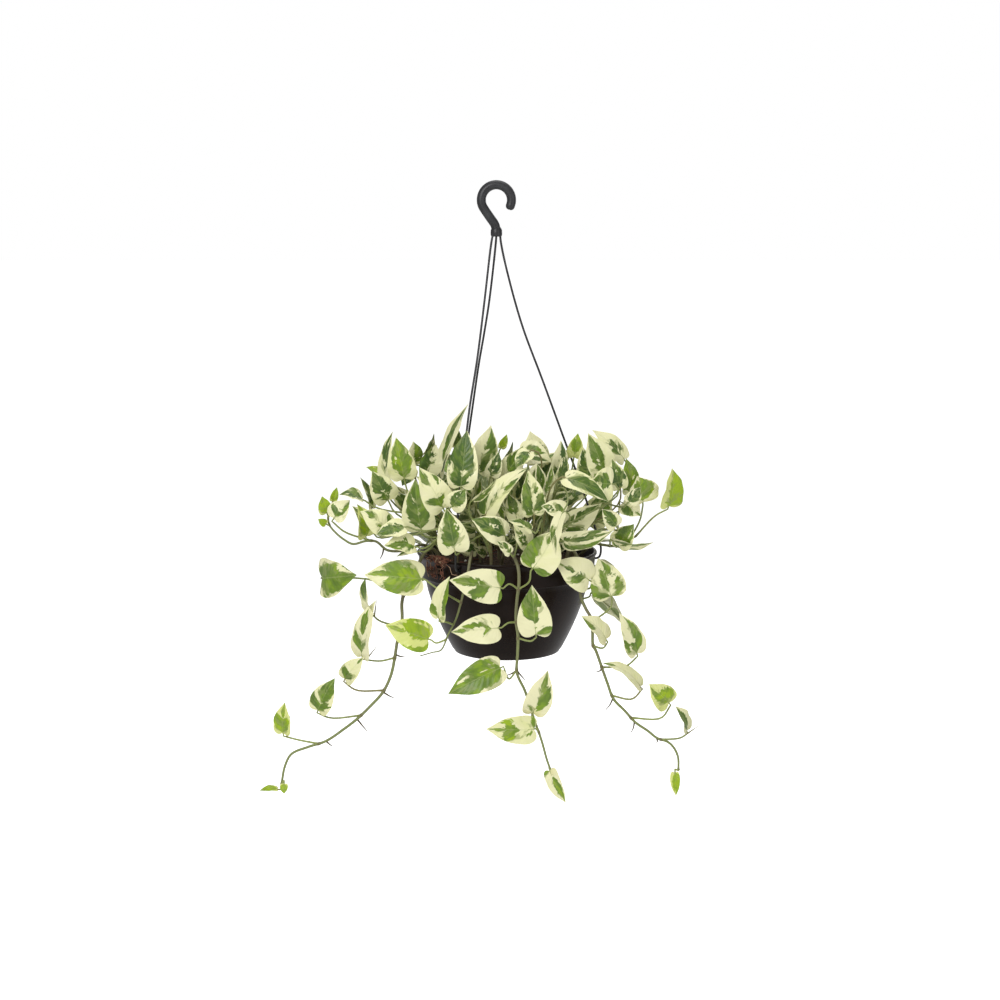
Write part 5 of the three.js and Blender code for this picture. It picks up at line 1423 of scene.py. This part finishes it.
# Colours of the leaves and stems, as a screen shows them, and how the markings lie
paint = {
    "cream": (239, 236, 190),
    "youngCream": (216, 223, 132),
    "greens": [(0, (68, 94, 40)), (0.3, (92, 118, 42)), (0.65, (118, 148, 40)), (1, (156, 184, 24))],
    "haze": (140, 152, 86),  # grey-green, where green lies under a clear skin
    "stain": (214, 204, 112),  # near the stalk of a cream leaf
    "underside": (196, 206, 160),
    "stem": (114, 122, 80),
    "youngStem": (158, 170, 92),
    "oldStem": (120, 114, 86),
    "reddish": (128, 92, 62),
    "root": (100, 92, 62),
    "rootShade": (70, 62, 42),
    "rib": (190, 200, 130),
    "ring": (96, 74, 48),  # round a stem where a stalk leaves it
    "streaks": 0.03,  # how far the blotches' edges wander along the side veins
    "rags": 0.008,
    "bites": 0.028,  # how deep cream and green reach into each other
    "crownGrowth": 0.02,  # how far the green of a crown leaf reaches beyond its blotches
}


def leafMaterial(name, underside):
    leaf, start = newMaterial(name, IOR=1.42)
    spot = start.attribute("spot")
    look = start.attribute("look")
    across, along, seed = spot.parts()
    mark, wear, tone = look.parts()
    reach = abs(across)
    vein = along - reach * 0.3
    streaky = start.vector(across * 1.1, vein * 6, seed * 53 + 9).noise(1, 2, 0.5, 0.2)
    ragged = start.vector(across * 3.2, vein * 20, seed * 71 + 20).noise(1, 2, 0.5)
    bitten = start.vector(across * 2.2, vein * 13, seed * 61 + 40).noise(1, 2, 0.5, 0.2)
    field = mark + streaky * paint["streaks"] + ragged * paint["rags"]
    field = field + (bitten.step(0.08, 0.4) - bitten.step(-0.08, -0.4)) * paint["bites"]
    green = field.step(-0.01, 0.01)
    under = start.vector(across * 1.3, vein * 5, seed * 29 + 50).noise(1, 2, 0.5, 0.3)
    haze = (field + under * 0.16 + 0.018).step(-0.02, 0.04) * 0.62
    cloud = start.vector(across * 1.5, vein * 4.5, seed * 41 + 80).noise(1, 2, 0.5)
    lines = (vein * 62 + ragged * 1.2).sine()
    shades = [(at, linear(*colour)) for at, colour in paint["greens"]]
    depth = tone + cloud.step(0.08, 0.35) * 0.24 - cloud.step(-0.1, -0.4) * 0.14 + lines * 0.025
    pure = start.node("ShaderNodeValToRGB", {"stops": shades}, {"Fac": depth})
    pure = ((under + ragged * 0.5).step(0.12, 0.34) * 0.5).mix(pure, linear(*paint["haze"]))
    young = tone.step(0.5, 1) + (seed * 37).sine() * 0.14 + under * 0.25 + 0.14
    pale = young.step(0, 1).mix(linear(*paint["cream"]), linear(*paint["youngCream"]))
    stained = (streaky * 0.12 - along + wear * 0.3 + 0.05).step(0, 0.2) * 0.4
    pale = stained.mix(pale, linear(*paint["stain"]))
    colour = green.mix(haze.mix(pale, linear(*paint["haze"])), pure)
    spread = (along**0.66 * math.pi).sine() ** 0.85
    rib = (reach * spread).step(0.05, 0.012)
    colour = (rib * 0.22).mix(colour, linear(*paint["rib"]))
    place = start.place()
    skin = place.noise(420, 2, 0.5)
    height = rib * (1.2 if underside else -1.4) + lines * 0.35 + skin * 0.1 + under * 0.8
    if underside:
        colour = (skin * 0.03 + 0.32).mix(colour, linear(*paint["underside"]))
    feed(leaf, Base_Color=colour, Roughness=skin * 0.03 + (0.52 if underside else 0.36),
         Normal=height.bump(0.45, 0.0005))
    return leaf


def stemMaterial():
    stem, start = newMaterial("stem", IOR=1.45)
    ring, age, seed = start.attribute("spot").parts()
    tone = start.attribute("look").parts()[2]
    place = start.place()
    cloud, fine = place.noise(45, 3, 0.6), place.noise(500, 2, 0.6)
    fresh = tone.mix(linear(*paint["stem"]), linear(*paint["youngStem"]))
    worn = (age + cloud * 0.35).step(0.2, 1.0)
    colour = worn.mix(fresh, linear(*paint["oldStem"]))
    colour = ((seed * 7 + cloud * 0.3).sine().step(0.8, 1.0) * 0.4).mix(colour, linear(*paint["reddish"]))
    colour = (ring * 0.8).mix(colour, linear(*paint["ring"]))
    feed(stem, Base_Color=colour, Roughness=fine * 0.04 + 0.48, Normal=(fine + ring * 2).bump(0.25, 0.0003))
    return stem


def smallMarks(draw):
    # Flecks of green and slits of cream
    return [(shade, 0.1 + 0.75 * draw(), 1.5 * (draw() - 0.5), 0.04 + 0.07 * draw(), 0.08 + 0.22 * draw())
            for shade in (1, -1, 1, -1, -1)]


def drawMarks(look, draw):
    # Blotches by a seeded rule, for a leaf with the given share of green and the side that has more
    share, bias = look[:2]
    marks = []
    if share > 0.6:
        marks.append((1, 0.5, 0.4 * bias, 0.55, 0.5 + 0.9 * (share - 0.5)))
        for _ in range(3):
            hand = -1 if draw() < 0.5 + bias else 1
            marks.append((-1, 0.1 + 0.75 * draw(), hand * (0.55 + 0.4 * draw()), 0.06 + 0.12 * draw(),
                          0.12 + 0.3 * draw()))
        return marks
    count = 1 + math.floor(4 * share + draw())
    for i in range(count):
        marks.append((1, (i + 0.25 + 0.5 * draw()) / count, 0.6 * bias + 1.1 * (draw() - 0.5),
                      0.07 + 0.1 * draw() + 0.14 * share, 0.16 + 0.2 * draw() + 0.4 * share))
    return marks


def markAt(marks, along, across):
    # Above 0 where the leaf is green and below 0 where it is cream; the blotches slant as the veins do
    value = -0.3
    for shade, place, side, length, breadth in marks:
        onward = (along - place - 0.3 * (abs(across) - abs(side))) / length
        inside = (1 - math.hypot(onward, (across - side) / breadth)) * math.sqrt(length * breadth * 0.3)
        value = max(value, inside) if shade > 0 else min(value, -inside)
    return value


def addBlade(bm, blade, look, marks, growth, seed):
    # Two shells, the upper and the underside, that meet at a thin edge
    spot, tint = bm.verts.layers.float_vector["spot"], bm.verts.layers.float_vector["look"]
    normal = Vector(blade["normal"])
    made = []
    for finish, hand in ((0, 1), (1, -1)):
        shell = bmesh.ops.create_grid(bm, x_segments=leafShape["columns"], y_segments=leafShape["rows"],
                                      size=1)["verts"]
        made += shell
        for vert in shell:
            across = vert.co.x
            along = min(1, max(0, 0.5 + 0.5 * vert.co.y)) ** 1.6
            thick = leafShape["halfThickness"] * (1 - across**4) * halfWidth(along) ** 0.5
            vert[spot] = (across, along, seed)
            vert[tint] = (markAt(marks, along, across) + growth, look[1], look[2])
            narrow = 1 - leafShape["drawnTip"] * max(0, (along - 0.7) / 0.3) ** 1.2
            wave = leafShape["fineRipples"] * along + 5 * blade["phase"] + 0.3 * across
            wave = math.sin(2 * math.pi * wave) * across**2
            wave *= leafShape["fineWave"] * blade["width"] * halfWidth(along)
            vert.co = Vector(bladePoint(blade, along, across * narrow)) + normal * (thick * hand + wave)
        faces = {face for vert in shell for face in vert.link_faces}
        for face in faces:
            face.material_index = finish
            face.smooth = True
        turned = [face for face in faces if face.normal.dot(normal) * hand < 0]
        if len(turned) * 2 > len(faces):
            bmesh.ops.reverse_faces(bm, faces=list(faces))
    bmesh.ops.remove_doubles(bm, verts=made, dist=1e-4)


def ribRoute(blade):
    # The midrib, from the stalk's end on along the underside of the blade
    points = [plus(bladePoint(blade, along, 0), blade["normal"], -0.35)
              for along in (0.12, 0.26, 0.42, 0.58, 0.74, 0.88)]
    return points, [0.72, 0.62, 0.52, 0.42, 0.32, 0.2]


def makePlant(plant, finishes, draw):
    bm = bmesh.new()
    bm.verts.layers.float_vector.new("spot")
    bm.verts.layers.float_vector.new("look")
    inCrown = plant["name"].startswith("crown")
    joints = [stalk[0] for _, stalk, _ in plant["leaves"]]
    steps = max(24, 9 * len(plant["curve"]))
    route = [plant["buried"]] + curvePoints(plant["curve"], steps)
    first, last = plant["radii"]
    radii, marks = [], []
    for i, place in enumerate(route):
        nearest = min([lengthOf(minus(place, joint)) for joint in joints] or [99])
        ring = math.exp(-((nearest / 1.7) ** 2))
        radii.append((first + (last - first) * i / steps) * (1 + 0.35 * ring))
        marks.append(((0.8 * ring, 1 - i / steps, 0.1), (0, 0, plant["tone"] * 0.4)))
    sweep(bm, route, radii, 10, 2, marks)
    for blade, stalk, look in plant["leaves"]:
        seed = draw()
        blotches = look[3] or drawMarks(look, draw)
        if inCrown:
            blotches = blotches + smallMarks(draw)
        addBlade(bm, blade, look, blotches, paint["crownGrowth"] if inCrown else 0, seed)
        ribs, ribRadii = ribRoute(blade)
        way = stalk + [stalkEnd(blade), plus(blade["base"], blade["normal"], -0.5)] + ribs
        count = len(stalk) + 2
        widths = [leafShape["stalkRadius"] + (leafShape["tipStalkRadius"] - leafShape["stalkRadius"])
                  * i / (count - 1) for i in range(count)]
        widths[0] *= 1.25
        marks = [((0, 0.25, seed), (0, 0, 0.35 + 0.5 * look[2]))] * len(way)
        sweep(bm, way, widths + ribRadii, 6, 2, marks)
    for x0, y0, x1, y1 in airRoots.get(plant["name"], []):
        start = min(route, key=lambda place: lengthOf(minus(seen(x0, y0, -place[1]), place)))
        end = seen(x1, y1, -start[1] + 1.5)
        bend = plus(between(start, end, 0.5), (0.6, -0.8, -0.6))
        sweep(bm, curvePoints([start, bend, end], 8), [1.1 - 0.09 * i for i in range(9)], 6, 3)
    for x0, y0, x1, y1 in sheaths.get(plant["name"], []):
        places = [place for _, stalk, _ in plant["leaves"] for place in stalk]
        start = min(places, key=lambda place: lengthOf(minus(seen(x0, y0, -place[1]), place)))
        end = seen(x1, y1, -start[1] + 1)
        marks = [((0, 0.3, 0.2), (0, 0, 0.4))] * 7
        sweep(bm, curvePoints([start, between(start, end, 0.5), end], 6), [1 - 0.13 * i for i in range(7)],
              6, 2, marks)
    for edge in bm.edges:
        if len({face.material_index for face in edge.link_faces}) == 2:
            edge.smooth = False
    newPiece(f"{plant['name']}_fine", bm, finishes, [plant["name"]])


def makePlants():
    bark = grained("air_root", 0.8, (300, 3, 0.6), (-0.8, 0.9), paint["rootShade"], paint["root"],
                   (0.4, 0.0003))
    finishes = [leafMaterial("leaf", False), leafMaterial("leaf_underside", True), stemMaterial(), bark]
    draw = makeDraw(515)
    for plant in plants:
        makePlant(plant, finishes, draw)


makePlants()
print("leaves made")
